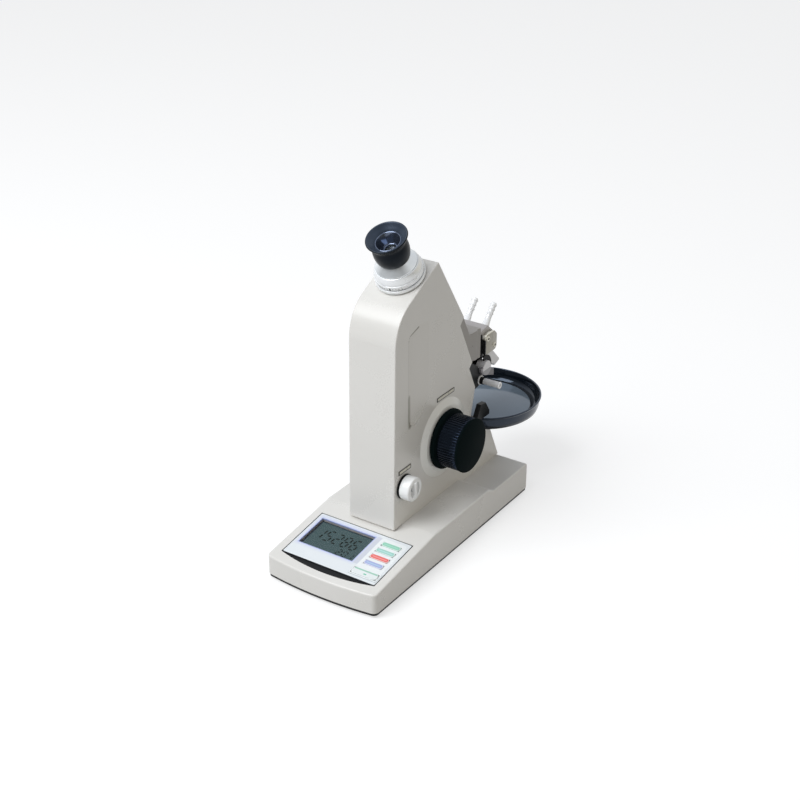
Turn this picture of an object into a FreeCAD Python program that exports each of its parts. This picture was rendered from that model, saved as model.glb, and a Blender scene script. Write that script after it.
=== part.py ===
import FreeCAD, Part
import math
import os

V = FreeCAD.Vector
X_AXIS = V(1, 0, 0)
Y_AXIS = V(0, 1, 0)
Z_AXIS = V(0, 0, 1)
FULL_TURN = 360.0

# Frame: X to the user's right, Y to the back, Z up, bench at zero,
# origin under the middle of the base. Millimetres and degrees.

# Clearances and edge rounds shared by all pieces
overrun = 1.0
small_ease = 0.25
machined_ease = 0.5
cast_ease = 0.9
running_clearance = 0.05
free_gap = 0.4

# Base casting
base_width = 130.0
base_depth = 290.0
base_front_bow = 5.0
base_corner_radius = 6.0
base_wall = 4.0
base_underside = 6.0
base_front_height = 20.8
base_deck_height = 35.2
base_rear_drop = 5.6
base_edge_radius = 2.0
base_rear_radius = 7.0
base_rear_overshoot = 0.2
deck_front_y = -42.0
step_start_y = 61.0
step_run = 11.0

# Bottom plate, feet and the screws that close the case
plate_thickness = 3.0
plate_inset = 0.8
foot_radius = 8.0
foot_edge_inset = 11.0
foot_front_inset = 24.0
foot_peg_radius = 2.5
screw_radius = 1.6
screw_head_height = 1.8
screw_post_radius = 4.0
screw_grip = 7.0
plate_screw_inset = 7.0
plate_screw_front_inset = 50.0

# Display panel on the wedge, measured along the slope from the front edge
panel_side_margin = 10.0
panel_front_share = 0.1165
panel_length_share = 0.6505
panel_thickness = 1.6
panel_recess_bow = 7.5
panel_gap = 0.5
window_width_share = 0.588
window_length_share = 0.609
window_left_share = 0.051
window_front_share = 0.294
window_thickness = 1.2
module_margin = 1.5
board_depth = 10.4
board_thickness = 1.6
board_margin = 5.0
board_rear_reach = 4.0
board_chip_height = 2.0

# Keys
key_width = 21.0
key_length = 6.0
key_pitch_share = 0.1507
key_column_inset = 18.0
key_first_share = 0.3791
wide_key_width = 29.0
wide_key_length = 8.6
wide_key_first_share = 0.1552
key_proud = 0.5
key_travel = 0.5
key_side_gap = 0.35
key_stem_radius = 1.5
key_collar_radius = 2.6
key_collar_height = 1.0
key_stem_reach = 2.0

# Sockets in the left wall of the base
socket_radius = 5.0
socket_flange_radius = 6.5
socket_flange = 1.2
socket_bore_radius = 3.0
socket_length = 14.0
socket_pin_radius = 0.9
socket_y = -8.0
socket_pitch = 24.0
socket_height = 13.0

# Column casting: side outline in Y and Z
column_width = 54.0
column_wall = 3.0
column_front_y = -58.5
column_lean_share = 0.018
column_corner_radius = 44.0
column_slope_angle = 27.4
apex_y = 18.3
apex_z = 299.6
column_rear_y = 143.8
rear_slope_share = 2.1
seat_top_y = 67.1
seat_top_z = 225.1
seat_step_y = 6.6
seat_step_z = 7.1
seat_foot_y = 85.0
seat_foot_z = 168.4
ledge_step = 5.4
pocket_top_y = 91.9
pocket_top_z = 137.7
pocket_front_y = 84.3
pocket_bend_z = 105.4
floor_opening_half_width = 14.0
floor_opening_front_y = -38.0
floor_opening_rear_y = 38.0
column_screw_inset = 12.0
column_screw_front_inset = 20.5
column_edge_radius = 1.2

# Long shallow scoop cast in each side of the column
scoop_front_y = -33.0
scoop_rear_y = 2.0
scoop_top_z = 246.0
scoop_bottom_z = 142.0
scoop_depth = 2.2
scoop_corner = 12.0

# Label plates on the right side
upper_label_y = 17.9
upper_label_length = 31.7
upper_label_z = 150.3
lower_label_y = -50.2
lower_label_length = 21.1
lower_label_z = 98.9
label_height = 4.6
label_thickness = 0.6

# Measuring knob on the right side, its boss and shaft
knob_y = 30.0
knob_z = 106.5
boss_foot_radius = 42.5
boss_top_radius = 35.0
boss_height = 3.4
knob_gap = 0.6
knob_flange_radius = 31.5
knob_flange_depth = 4.6
knob_drum_radius = 28.0
knob_length = 30.0
knob_rib_count = 60
knob_rib_height = 0.8
knob_rib_share = 0.5
knob_rim_depth = 2.6
knob_edge = 1.2
shaft_radius = 4.0
bush_radius = 7.0
bush_depth = 6.0
hub_radius = 6.0

# Tilting mirror, its toothed sector and the pinion on the knob's shaft
mirror_z = 176.0
mirror_width = 22.0
mirror_length = 24.0
mirror_thickness = 2.0
cradle_wall = 1.6
stub_radius = 2.5
sector_half_angle = 14.0
sector_thickness = 3.0
sector_rim = 6.0
sector_arm_half_width = 5.0
pinion_teeth = 12
tooth_module = 0.8
tooth_tip_share = 0.85
tooth_root_share = 1.15
tooth_half_width_shares = (0.27, 0.20, 0.12)
pivot_boss_radius = 6.0
pivot_boss_height = 4.0

# Encoder on the knob's shaft
disc_radius = 17.0
disc_thickness = 0.8
disc_x = -6.0
disc_hub_length = 5.0
reader_width = 12.0
reader_height = 9.0
reader_gap = 0.6
reader_far_wall = 3.0

# Frame plate that carries the optics inside the column
frame_thickness = 3.0
frame_x = -17.0
frame_margin = 12.0
frame_low_margin = 22.0
frame_post_radius = 4.0
frame_screw_radius = 1.3

# Compensator knob, its shaft, belt and cross shaft
small_knob_y = -41.0
small_knob_z = 83.5
small_knob_radius = 12.5
small_knob_length = 11.0
small_knob_ring_radius = 12.9
small_knob_ring = 2.4
small_knob_edge = 1.0
small_knob_bar_half = 2.0
small_knob_bar_height = 1.6
small_shaft_radius = 3.0
small_bush_radius = 5.0
pulley_radius = 6.0
pulley_flange_radius = 7.8
pulley_flange = 0.5
pulley_width = 3.8
belt_thickness = 1.2
belt_gap = 0.3
belt_side_gap = 0.2
left_bush_length = 1.8

# Telescope along the optical axis; heights are measured outwards
# from the point where the axis leaves the column's slope
eyepiece_down_slope = 27.2
tube_radius = 12.5
tube_bore_radius = 11.0
tube_top = 4.0
tube_length = 87.0
objective_thickness = 4.0
objective_inset = 3.0
sleeve_wall = 1.4
sleeve_entry = 3.0
cell_depth = 5.0
cell_bore_radius = 9.5
cell_gap = 6.0
cell_end_gap = 0.3
sleeve_lip = 1.6
sleeve_saddle_half_width = 5.0
bevel_radius = 2.6
bevel_length = 3.6
cross_shaft_radius = 1.5

# Eyepiece: flange, focus ring, barrel, eyecup and eye lens
flange_radius = 25.0
flange_height = 5.4
flange_groove = 0.6
focus_foot_radius = 24.4
focus_top_radius = 21.4
focus_height = 12.0
focus_wall = 1.8
barrel_cone_radius = 20.6
barrel_cone_height = 6.6
barrel_neck_radius = 14.4
barrel_sleeve_radius = 10.9
barrel_sleeve_length = 30.0
barrel_bore_radius = 8.5
eyecup_height = 28.5
eyecup_belly_radius = 17.8
eyecup_waist_radius = 16.4
eyecup_rim_radius = 20.7
eyecup_mouth_radius = 11.6
eyecup_lip = 0.9
eye_relief_radius = 5.6
eye_lens_thickness = 3.0
barrel_top_height = 12.0

# Prism block on the column's rear slope
block_half_width = 26.0
block_rear_half_width = 24.5
block_shoulder_y = 97.0
block_shoulder_run = 2.5
block_rear_y = 104.5
block_top_z = 198.6
block_front_top_z = 200.4
block_bottom_z = 165.0
beam_radius = 7.0
prism_half_width = 14.0
prism_bottom_z = 169.0
prism_top_z = 184.0
prism_back_y = 92.0
prism_slant = 5.0
bezel_half_width = 20.0
bezel_bottom_z = 165.5
bezel_top_z = 186.0
measuring_y = 110.0
sample_gap = 0.3
prism_proud = 0.15
prism_pocket_gap = 0.15
block_screw_x = 19.0
block_screw_grip = 8.0

# Lower water jacket, hinge cheeks and hinge pin
jacket_half_width = 21.0
jacket_rear_y = 114.5
jacket_low_z = 128.5
hinge_y = 120.0
hinge_z = 147.0
hinge_barrel_radius = 8.0
hinge_pin_radius = 2.5
hinge_barrel_start = 14.0
hinge_pin_cover = 1.5
cheek_thickness = 3.0
cheek_front_y = 107.0
cheek_front_z = 149.8
cheek_low_y = 110.0
cheek_low_z = 142.6
cheek_reach_y = 134.0
cheek_reach_z = 141.5
cheek_reach_low_z = 133.3
jacket_slope_z = 154.6
jacket_saddle_y = 109.5
jacket_saddle_z = 149.2
jacket_rear_top_z = 143.9
jacket_rear_low_z = 131.0
knuckle_radius = 7.0
knuckle_gap = 0.5

# Hinged half with the illuminating prism
lid_half_width = 20.0
lid_front_y = 115.0
lid_rear_y = 138.5
lid_bottom_z = 163.0
lid_top_z = 192.5
lid_chamfer_y = 126.0
lid_chamfer_z = 181.5
lid_brow_y = 105.5
lid_brow_z = 186.6
lid_brow_top_z = 190.0
lid_brow_round = 2.4
lid_plate_thickness = 4.0
lid_plate_top_z = 186.3
lid_plate_corner = 3.2
lid_prism_depth = 16.0
lid_window_half_width = 9.0
lid_window_half_height = 5.0
lug_rear_y = 154.0
lug_rear_z = 143.5
lug_low_y = 143.0
lug_low_z = 140.0
lug_relief = 4.0
lug_ease = 1.6
lid_screw_radius = 2.2
lid_screw_height = 0.5
lid_screw_grip = 3.0
lid_screw_inset = 5.0

# Hose nipples
nipple_radius = 3.1
nipple_barb_radius = 3.7
nipple_bore_radius = 1.8
nipple_length = 28.0
nipple_root_radius = 4.4
nipple_root_length = 2.0
nipple_cone_length = 10.0
nipple_spigot_radius = 2.4
nipple_spigot_length = 4.0
nipple_x = 11.4
nipple_place_share = 0.62
nipple_barb_shares = (0.57, 0.74, 0.91)
lower_nipple_y = 111.0
lower_nipple_z = 136.0
lower_nipple_length = 24.5
lower_nipple_radius = 3.4
collar_radius = 3.9
collar_length = 3.8
ring_radius = 5.2
ring_length = 1.2

# Drip tray and its bracket
tray_radius = 63.6
tray_height = 15.0
tray_wall = 2.0
tray_floor = 2.0
tray_taper = 4.0
tray_round = 4.0
tray_rim_z = 99.0
tray_y = 153.0
tray_slide_gap = 0.3
bracket_half_width = 33.0
bracket_bar_height = 7.0
bracket_bar_depth = 8.0
bracket_ear_top_z = 117.0
bracket_ear_front_y = 94.0
bracket_ear_rear_y = 104.0
bracket_ear_toe_y = 112.0
bracket_ear_toe_z = 104.0

# Values worked out from the sizes above
y_front = -base_depth / 2
y_rear = base_depth / 2
front_top_z = base_underside + base_front_height
deck_z = base_underside + base_deck_height
rear_deck_z = deck_z - base_rear_drop
wedge_length = deck_front_y - y_front
wedge_angle = math.degrees(math.atan2(deck_z - front_top_z, wedge_length))
panel_width = base_width - panel_side_margin * 2
panel_front = wedge_length * panel_front_share
panel_length = wedge_length * panel_length_share
window_width = panel_width * window_width_share
window_length = panel_length * window_length_share
window_left = panel_width * window_left_share
window_front = panel_length * window_front_share
key_column_x = panel_width / 2 - key_column_inset
wide_key_first = panel_length * wide_key_first_share
key_first = panel_length * key_first_share
key_pitch = panel_length * key_pitch_share
half_column = column_width / 2
inner_half = half_column - column_wall
slope = math.radians(column_slope_angle)
axis_out = V(0, -math.sin(slope), math.cos(slope))
slope_up = V(0, math.cos(slope), math.sin(slope))
eye_origin = V(0, apex_y, apex_z) - slope_up * eyepiece_down_slope
mirror_share = (eye_origin.z - mirror_z) / math.cos(slope)
mirror_y = eye_origin.y + mirror_share * math.sin(slope)
sleeve_top = tube_top - tube_length + sleeve_entry
upper_cell_top = sleeve_top - sleeve_entry - cell_end_gap
cross_height = upper_cell_top - cell_depth - cell_gap / 2
lower_cell_top = cross_height - cell_gap / 2
sleeve_bottom = lower_cell_top - cell_depth - cell_end_gap - sleeve_lip
cross_centre = eye_origin + axis_out * cross_height
frame_face_x = frame_x + frame_thickness
frame_post_places = [
    (knob_y + frame_margin * 0.75, knob_z - frame_margin * 0.35),
    (knob_y - frame_margin * 0.8, knob_z + frame_margin * 1.6),
    (mirror_y + frame_margin * 0.7, mirror_z - frame_margin * 1.3),
    (mirror_y + frame_margin * 0.8, mirror_z + frame_margin),
]
knob_back_x = half_column + boss_height + knob_gap
knob_face_x = knob_back_x + knob_length
pinion_radius = tooth_module * pinion_teeth / 2
centre_distance = math.hypot(mirror_y - knob_y, mirror_z - knob_z)
sector_radius = centre_distance - pinion_radius
sector_x = mirror_width / 2 + cradle_wall + free_gap
seat_z = seat_top_z - seat_step_z
seat_y = seat_top_y - seat_step_y
pocket_floor_z = tray_rim_z - tray_height
belt_x = frame_x - free_gap - pulley_width
lid_end_x = lid_half_width + lid_plate_thickness
cheek_x = jacket_half_width + cheek_thickness
lid_face_normal = V(0, lid_top_z - lid_chamfer_z, lid_rear_y - lid_chamfer_y).normalize()


def block(x0, x1, y0, y1, z0, z1):
    """A box between two corners."""
    return Part.makeBox(x1 - x0, y1 - y0, z1 - z0, V(x0, y0, z0))


def rod(radius, x0, x1, y, z):
    """A cylinder that lies along X."""
    return Part.makeCylinder(radius, x1 - x0, V(x0, y, z), X_AXIS)


def slab(points, x0, x1):
    """A plate whose side outline is given in Y and Z."""
    corners = [V(x0, y, z) for y, z in points]
    wire = Part.makePolygon(corners + corners[:1])
    return Part.Face(wire).extrude(V(x1 - x0, 0, 0))


def turned(points, origin, axis):
    """A turned piece from points of radius and height along its axis."""
    corners = [V(radius, 0, height) for radius, height in points]
    wire = Part.makePolygon(corners + corners[:1])
    solid = Part.Face(wire).revolve(V(0, 0, 0), Z_AXIS, FULL_TURN)
    solid.Placement = FreeCAD.Placement(origin, FreeCAD.Rotation(Z_AXIS, axis))
    return solid


def along(radius, origin, axis, start, end):
    """A cylinder on an axis, between two heights."""
    return Part.makeCylinder(radius, end - start, origin + axis * start, axis)


def eased(shape, radius):
    """The shape with every edge rounded."""
    return shape.makeFillet(radius, shape.Edges)


def both_sides(shape):
    """The shape and its mirror image across the middle plane."""
    return [shape, shape.mirror(V(0, 0, 0), X_AXIS)]


def on_wedge(shape):
    """Moves a shape from the panel's own frame onto the wedge."""
    placed = shape.copy()
    placed.rotate(V(0, 0, 0), X_AXIS, wedge_angle)
    placed.translate(V(0, y_front, front_top_z))
    return placed


def screw(head_point, axis, reach, radius):
    """A pan-head screw; the axis points from its head to its tip."""
    head = along(radius * 2, head_point, axis, -screw_head_height, 0)
    return head.fuse(along(radius, head_point, axis, 0, reach)).removeSplitter()


def wedge_z(y):
    """Height of the wedge's surface at a given Y."""
    return front_top_z + (y - y_front) * math.tan(math.radians(wedge_angle))


def base_plan(inset, z0, z1):
    """The base's footprint with its bowed front, as a block."""
    half = base_width / 2 - inset
    front = y_front + inset
    rear = y_rear - inset
    nose = front - base_front_bow
    bow = Part.Arc(V(-half, front, z0), V(0, nose, z0), V(half, front, z0)).toShape()
    sides = Part.makePolygon([V(half, front, z0), V(half, rear, z0), V(-half, rear, z0), V(-half, front, z0)])
    solid = Part.Face(Part.Wire([bow] + sides.Edges)).extrude(V(0, 0, z1 - z0))
    corners = [e for e in solid.Edges if abs(e.tangentAt(e.FirstParameter).z) > 0.99]
    return solid.makeFillet(base_corner_radius - inset, corners)


def base_profile(drop):
    """The base's side outline, set in by a wall where it is asked for."""
    nose = y_front - base_front_bow - overrun
    rear = y_rear + base_rear_overshoot - drop
    round_top = max(base_rear_radius - drop, base_edge_radius)
    points = [
        (rear - round_top, rear_deck_z - drop),
        (step_start_y + step_run, rear_deck_z - drop),
        (step_start_y, deck_z - drop),
        (y_front + wedge_length, deck_z - drop),
        (nose, wedge_z(nose) - drop),
        (nose, base_underside),
        (rear, base_underside),
        (rear, rear_deck_z - drop - round_top),
    ]
    corners = [V(-base_width, y, z) for y, z in points]
    part_way = round_top * (1 - math.sqrt(0.5))
    middle = V(-base_width, rear - part_way, rear_deck_z - drop - part_way)
    bend = Part.Arc(corners[-1], middle, corners[0]).toShape()
    outline = Part.Wire(Part.makePolygon(corners).Edges + [bend])
    return Part.Face(outline).extrude(V(base_width * 2, 0, 0))


def plate_screw_places():
    """Where the bottom plate's screws go."""
    x = base_width / 2 - plate_screw_inset
    front = y_front + plate_screw_front_inset
    return [(sx * x, y) for sx in (-1, 1) for y in (front, -front)]


def foot_places():
    """Where the feet go."""
    x = base_width / 2 - foot_edge_inset
    y = y_rear - foot_front_inset
    return [(sx * x, sy * y) for sx in (-1, 1) for sy in (-1, 1)]


def column_screw_places():
    """Where the column is screwed down to the deck."""
    x = inner_half - column_screw_inset / 2
    front = column_front_y + column_screw_front_inset
    rear = step_start_y - column_screw_inset
    return [(sx * x, y) for sx in (-1, 1) for y in (front, rear)]


def board_screw_places():
    """Where the control board is fixed, in the panel's frame."""
    x = panel_width / 2 - board_margin * 2
    first = panel_front + board_margin * 2
    last = panel_front + panel_length + board_rear_reach - board_margin
    return [(sx * x, s) for sx in (-1, 1) for s in (first, last)]


def key_rows():
    """Centre, width and length of each key, from the front of the panel."""
    rows = [(key_column_x, panel_front + wide_key_first, wide_key_width, wide_key_length)]
    for i in range(4):
        rows.append((key_column_x, panel_front + key_first + i * key_pitch, key_width, key_length))
    return rows


def window_box(gap, low, high):
    """The display window's place in the panel's frame."""
    left = -panel_width / 2 + window_left
    front = panel_front + window_front
    return block(left - gap, left + window_width + gap, front - gap, front + window_length + gap, low, high)


def panel_recess():
    """The shallow bed of the panel, with its bowed front edge."""
    half = panel_width / 2 + panel_gap
    front = panel_front - panel_gap
    rear = panel_front + panel_length + panel_gap
    low = -panel_thickness
    bow = Part.Arc(V(-half, front, low), V(0, front - panel_recess_bow, low), V(half, front, low)).toShape()
    corners = [V(half, front, low), V(half, rear, low), V(-half, rear, low), V(-half, front, low)]
    sides = Part.makePolygon(corners)
    bed = Part.Face(Part.Wire([bow] + sides.Edges))
    return bed.extrude(V(0, 0, panel_thickness + overrun))


def base_housing():
    """Cast base: hollow, open below, with posts for its screws."""
    outer = base_plan(0, base_underside, deck_z + overrun).common(base_profile(0))
    rim = []
    for edge in outer.Edges:
        middle = (edge.FirstParameter + edge.LastParameter) / 2
        place = edge.valueAt(middle)
        upright = abs(edge.tangentAt(middle).z) > 0.99
        at_side = abs(place.x) > base_width / 2 - base_corner_radius
        at_front = place.y < y_front + base_corner_radius
        if place.z > base_underside + base_edge_radius and (at_side or at_front) and not upright:
            rim.append(edge)
    shell = outer.makeFillet(base_edge_radius, rim)
    inner = base_plan(base_wall, base_underside - overrun, deck_z)
    mouth = block(-base_width, base_width, y_front, y_rear, base_underside - overrun, base_underside)
    shell = shell.cut(inner.common(base_profile(base_wall).fuse(mouth)))
    for x, y in plate_screw_places():
        post = Part.makeCylinder(screw_post_radius, deck_z, V(x, y, base_underside))
        shell = shell.fuse(post.common(outer))
    post_length = board_depth - panel_thickness - free_gap
    for x, s in board_screw_places():
        post = Part.makeCylinder(screw_post_radius, post_length, V(x, s, -board_depth))
        shell = shell.fuse(on_wedge(post))
    shell = shell.cut(on_wedge(panel_recess()))
    shell = shell.cut(on_wedge(window_box(free_gap, -board_depth, overrun)))
    for x, s, width, length in key_rows():
        passage = Part.makeCylinder(key_stem_radius + free_gap, board_depth, V(x, s, -board_depth))
        shell = shell.cut(on_wedge(passage))
    for x, y in plate_screw_places():
        shell = shell.cut(Part.makeCylinder(screw_radius, screw_grip, V(x, y, base_underside)))
    for x, s in board_screw_places():
        shell = shell.cut(on_wedge(Part.makeCylinder(screw_radius, screw_grip, V(x, s, -board_depth))))
    for x, y in column_screw_places():
        hole = Part.makeCylinder(screw_radius + free_gap, base_wall * 2, V(x, y, deck_z - base_wall * 1.5))
        shell = shell.cut(hole)
    shell = shell.cut(block(-floor_opening_half_width, floor_opening_half_width, floor_opening_front_y,
                            floor_opening_rear_y, deck_z - base_wall - overrun, deck_z + overrun))
    for y in socket_places():
        shell = shell.cut(rod(socket_radius, -base_width / 2 - overrun, -base_width / 2 + base_wall + overrun,
                              y, base_underside + socket_height))
    return shell.removeSplitter()


def socket_places():
    """Where the sockets sit along the left wall."""
    return [socket_y, socket_y + socket_pitch]


def base_plate():
    """Black bottom plate under the casting."""
    plate = base_plan(plate_inset, base_underside - plate_thickness, base_underside)
    low = base_underside - plate_thickness
    for x, y in plate_screw_places():
        plate = plate.cut(Part.makeCylinder(screw_radius + free_gap, plate_thickness, V(x, y, low)))
    for x, y in foot_places():
        plate = plate.cut(Part.makeCylinder(foot_peg_radius, plate_thickness, V(x, y, low)))
    return plate


def rubber_feet():
    """Four feet, each with a peg in the plate."""
    height = base_underside - plate_thickness
    feet = []
    for x, y in foot_places():
        foot = Part.makeCone(foot_radius * 0.9, foot_radius, height, V(x, y, 0))
        peg = Part.makeCylinder(foot_peg_radius, plate_thickness, V(x, y, height))
        feet.append(foot.fuse(peg).removeSplitter())
    return feet


def case_screws():
    """Screws of the bottom plate, the column and the control board."""
    screws = []
    plate_low = base_underside - plate_thickness
    for x, y in plate_screw_places():
        screws.append(screw(V(x, y, plate_low), Z_AXIS, plate_thickness + screw_grip, screw_radius))
    for x, y in column_screw_places():
        screws.append(screw(V(x, y, deck_z - base_wall), Z_AXIS, base_wall + screw_grip, screw_radius))
    for x, s in board_screw_places():
        shape = screw(V(x, s, -board_depth - board_thickness), Z_AXIS, board_thickness + screw_grip / 2,
                      screw_radius)
        screws.append(on_wedge(shape))
    return screws


def display_panel():
    """White fascia with openings for the window and the keys."""
    half = panel_width / 2
    plate = block(-half, half, panel_front, panel_front + panel_length, -panel_thickness, 0)
    plate = plate.cut(window_box(0, -panel_thickness - overrun, overrun))
    for x, s, width, length in key_rows():
        gap = key_side_gap
        plate = plate.cut(block(x - width / 2 - gap, x + width / 2 + gap, s - length / 2 - gap,
                                s + length / 2 + gap,
                                -panel_thickness - overrun, overrun))
    return on_wedge(plate)


def panel_trim():
    """Black crescent that fills the bowed front of the panel's bed."""
    bed = panel_recess()
    front = block(-panel_width, panel_width, -panel_width, panel_front, -panel_thickness, -panel_thickness / 2)
    return on_wedge(bed.common(front))


def display_window():
    """Clear window over the display."""
    return on_wedge(window_box(0, -panel_thickness, -panel_thickness + window_thickness))


def display_module():
    """Liquid crystal display that stands on the control board."""
    return on_wedge(window_box(-module_margin, -board_depth, -panel_thickness - free_gap))


def control_board():
    """Circuit board with key switches and chips."""
    half = panel_width / 2 - board_margin
    first = panel_front + board_margin
    last = panel_front + panel_length + board_rear_reach
    low = -board_depth - board_thickness
    board = block(-half, half, first, last, low, -board_depth)
    chip = board_chip_height * 3
    for x in (-half / 2, 0, half / 2):
        centre = (first + last) / 2
        board = board.fuse(block(x - chip, x + chip, centre - chip, centre + chip, low - board_chip_height,
                                 low))
    stem_end = key_stem_end()
    for x, s, width, length in key_rows():
        switch = Part.makeCylinder(key_collar_radius, stem_end - free_gap - key_travel + board_depth,
                                   V(x, s, -board_depth))
        board = board.fuse(switch)
    for x, s in board_screw_places():
        board = board.cut(Part.makeCylinder(screw_radius + free_gap, board_thickness, V(x, s, low)))
    return on_wedge(board.removeSplitter())


def key_stem_end():
    """Height of the stems' lower ends in the panel's frame."""
    return -base_wall - key_collar_height - key_stem_reach


def key(x, s, width, length):
    """One key: cap, stem and the collar that keeps it in."""
    cap_low = -panel_thickness + key_travel + free_gap / 2
    cap = block(x - width / 2, x + width / 2, s - length / 2, s + length / 2, cap_low, key_proud)
    corners = [e for e in cap.Edges if abs(e.tangentAt(e.FirstParameter).z) > 0.99]
    cap = cap.makeFillet(length * 0.45, corners)
    top_edges = [e for e in cap.Edges if e.BoundBox.ZMin > key_proud - small_ease / 2]
    cap = cap.makeFillet(small_ease, top_edges)
    collar_top = -base_wall / math.cos(math.radians(wedge_angle)) - running_clearance
    stem = Part.makeCylinder(key_stem_radius, cap_low - key_stem_end(), V(x, s, key_stem_end()))
    collar = Part.makeCylinder(key_collar_radius, key_collar_height, V(x, s, collar_top - key_collar_height))
    return on_wedge(cap.fuse([stem, collar]).removeSplitter())


def side_sockets():
    """Power socket and temperature sensor socket in the left wall."""
    sockets = []
    face = -base_width / 2
    z = base_underside + socket_height
    for y in socket_places():
        body = rod(socket_radius, face, face + socket_length, y, z)
        body = body.fuse(rod(socket_flange_radius, face - socket_flange, face, y, z))
        body = body.cut(rod(socket_bore_radius, face - socket_flange,
                            face + socket_length - socket_radius / 2, y, z))
        body = body.fuse(rod(socket_pin_radius, face, face + socket_length, y, z))
        sockets.append(body.removeSplitter())
    return sockets


def column_wire(x):
    """The column's side outline as one wire, clockwise from the front foot."""
    lean = V(0, column_lean_share, 1).normalize()
    foot = V(x, column_front_y, deck_z)
    apex = V(x, apex_y, apex_z)
    reach = (apex - foot).cross(slope_up).x / lean.cross(slope_up).x
    corner = foot + lean * reach
    turn = math.acos(lean.dot(slope_up))
    tangent = column_corner_radius * math.tan(turn / 2)
    start = corner - lean * tangent
    end = corner + slope_up * tangent
    inward = (slope_up - lean).normalize()
    middle = corner + inward * column_corner_radius * (1 / math.cos(turn / 2) - 1)
    ledge = V(0, seat_foot_y - pocket_top_y, seat_foot_z - pocket_top_z).normalize()
    tray_back_y = column_rear_y - (pocket_floor_z - rear_deck_z) / rear_slope_share
    points = [
        end,
        apex,
        V(x, seat_top_y, seat_top_z),
        V(x, seat_y, seat_z),
        V(x, seat_foot_y, seat_foot_z),
        V(x, seat_foot_y - ledge_step, seat_foot_z - ledge_step),
        V(x, pocket_top_y, pocket_top_z),
        V(x, pocket_front_y, pocket_bend_z),
        V(x, pocket_front_y, pocket_floor_z),
        V(x, tray_back_y, pocket_floor_z),
        V(x, column_rear_y, rear_deck_z),
        V(x, step_start_y + step_run, rear_deck_z),
        V(x, step_start_y, deck_z),
        foot,
        start,
    ]
    bend = Part.Arc(start, middle, end).toShape()
    return Part.Wire([bend] + Part.makePolygon(points).Edges)


def side_scoop():
    """Shallow scoop whose floor runs out towards the rear."""
    width = scoop_rear_y - scoop_front_y
    points = [
        (scoop_front_y, scoop_bottom_z + scoop_corner),
        (scoop_front_y + scoop_corner * 0.3, scoop_bottom_z + scoop_corner * 0.3),
        (scoop_front_y + scoop_corner, scoop_bottom_z),
        (scoop_front_y + width * 0.6, scoop_bottom_z + scoop_corner * 0.5),
        (scoop_rear_y, scoop_bottom_z + scoop_corner * 1.8),
        (scoop_rear_y, scoop_top_z),
        (scoop_front_y + scoop_corner * 1.4, scoop_top_z),
        (scoop_front_y + scoop_corner * 0.2, scoop_top_z - scoop_corner * 0.4),
        (scoop_front_y, scoop_top_z - scoop_corner),
    ]
    scoop = slab(points, half_column - scoop_depth, half_column + scoop_depth)
    tilt = math.degrees(math.atan2(scoop_depth, width))
    floor = block(half_column - scoop_depth, half_column + width, scoop_front_y, scoop_rear_y + width,
                  scoop_bottom_z - width, scoop_top_z + width)
    floor.rotate(V(half_column - scoop_depth, scoop_front_y, 0), Z_AXIS, -tilt)
    return scoop.common(floor)


def seat_line():
    """Direction down the prism block's seat, and the way out of it."""
    down = V(0, seat_foot_y - seat_y, seat_foot_z - seat_z).normalize()
    return down, V(0, -down.z, down.y)


def block_screw_points():
    """Points on the seat where the prism block's screws cross it."""
    down, out = seat_line()
    length = math.hypot(seat_foot_y - seat_y, seat_foot_z - seat_z)
    return [V(sx * block_screw_x, seat_y, seat_z) + down * (length * share)
            for sx in (-1, 1) for share in (0.3, 0.85)]


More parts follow.
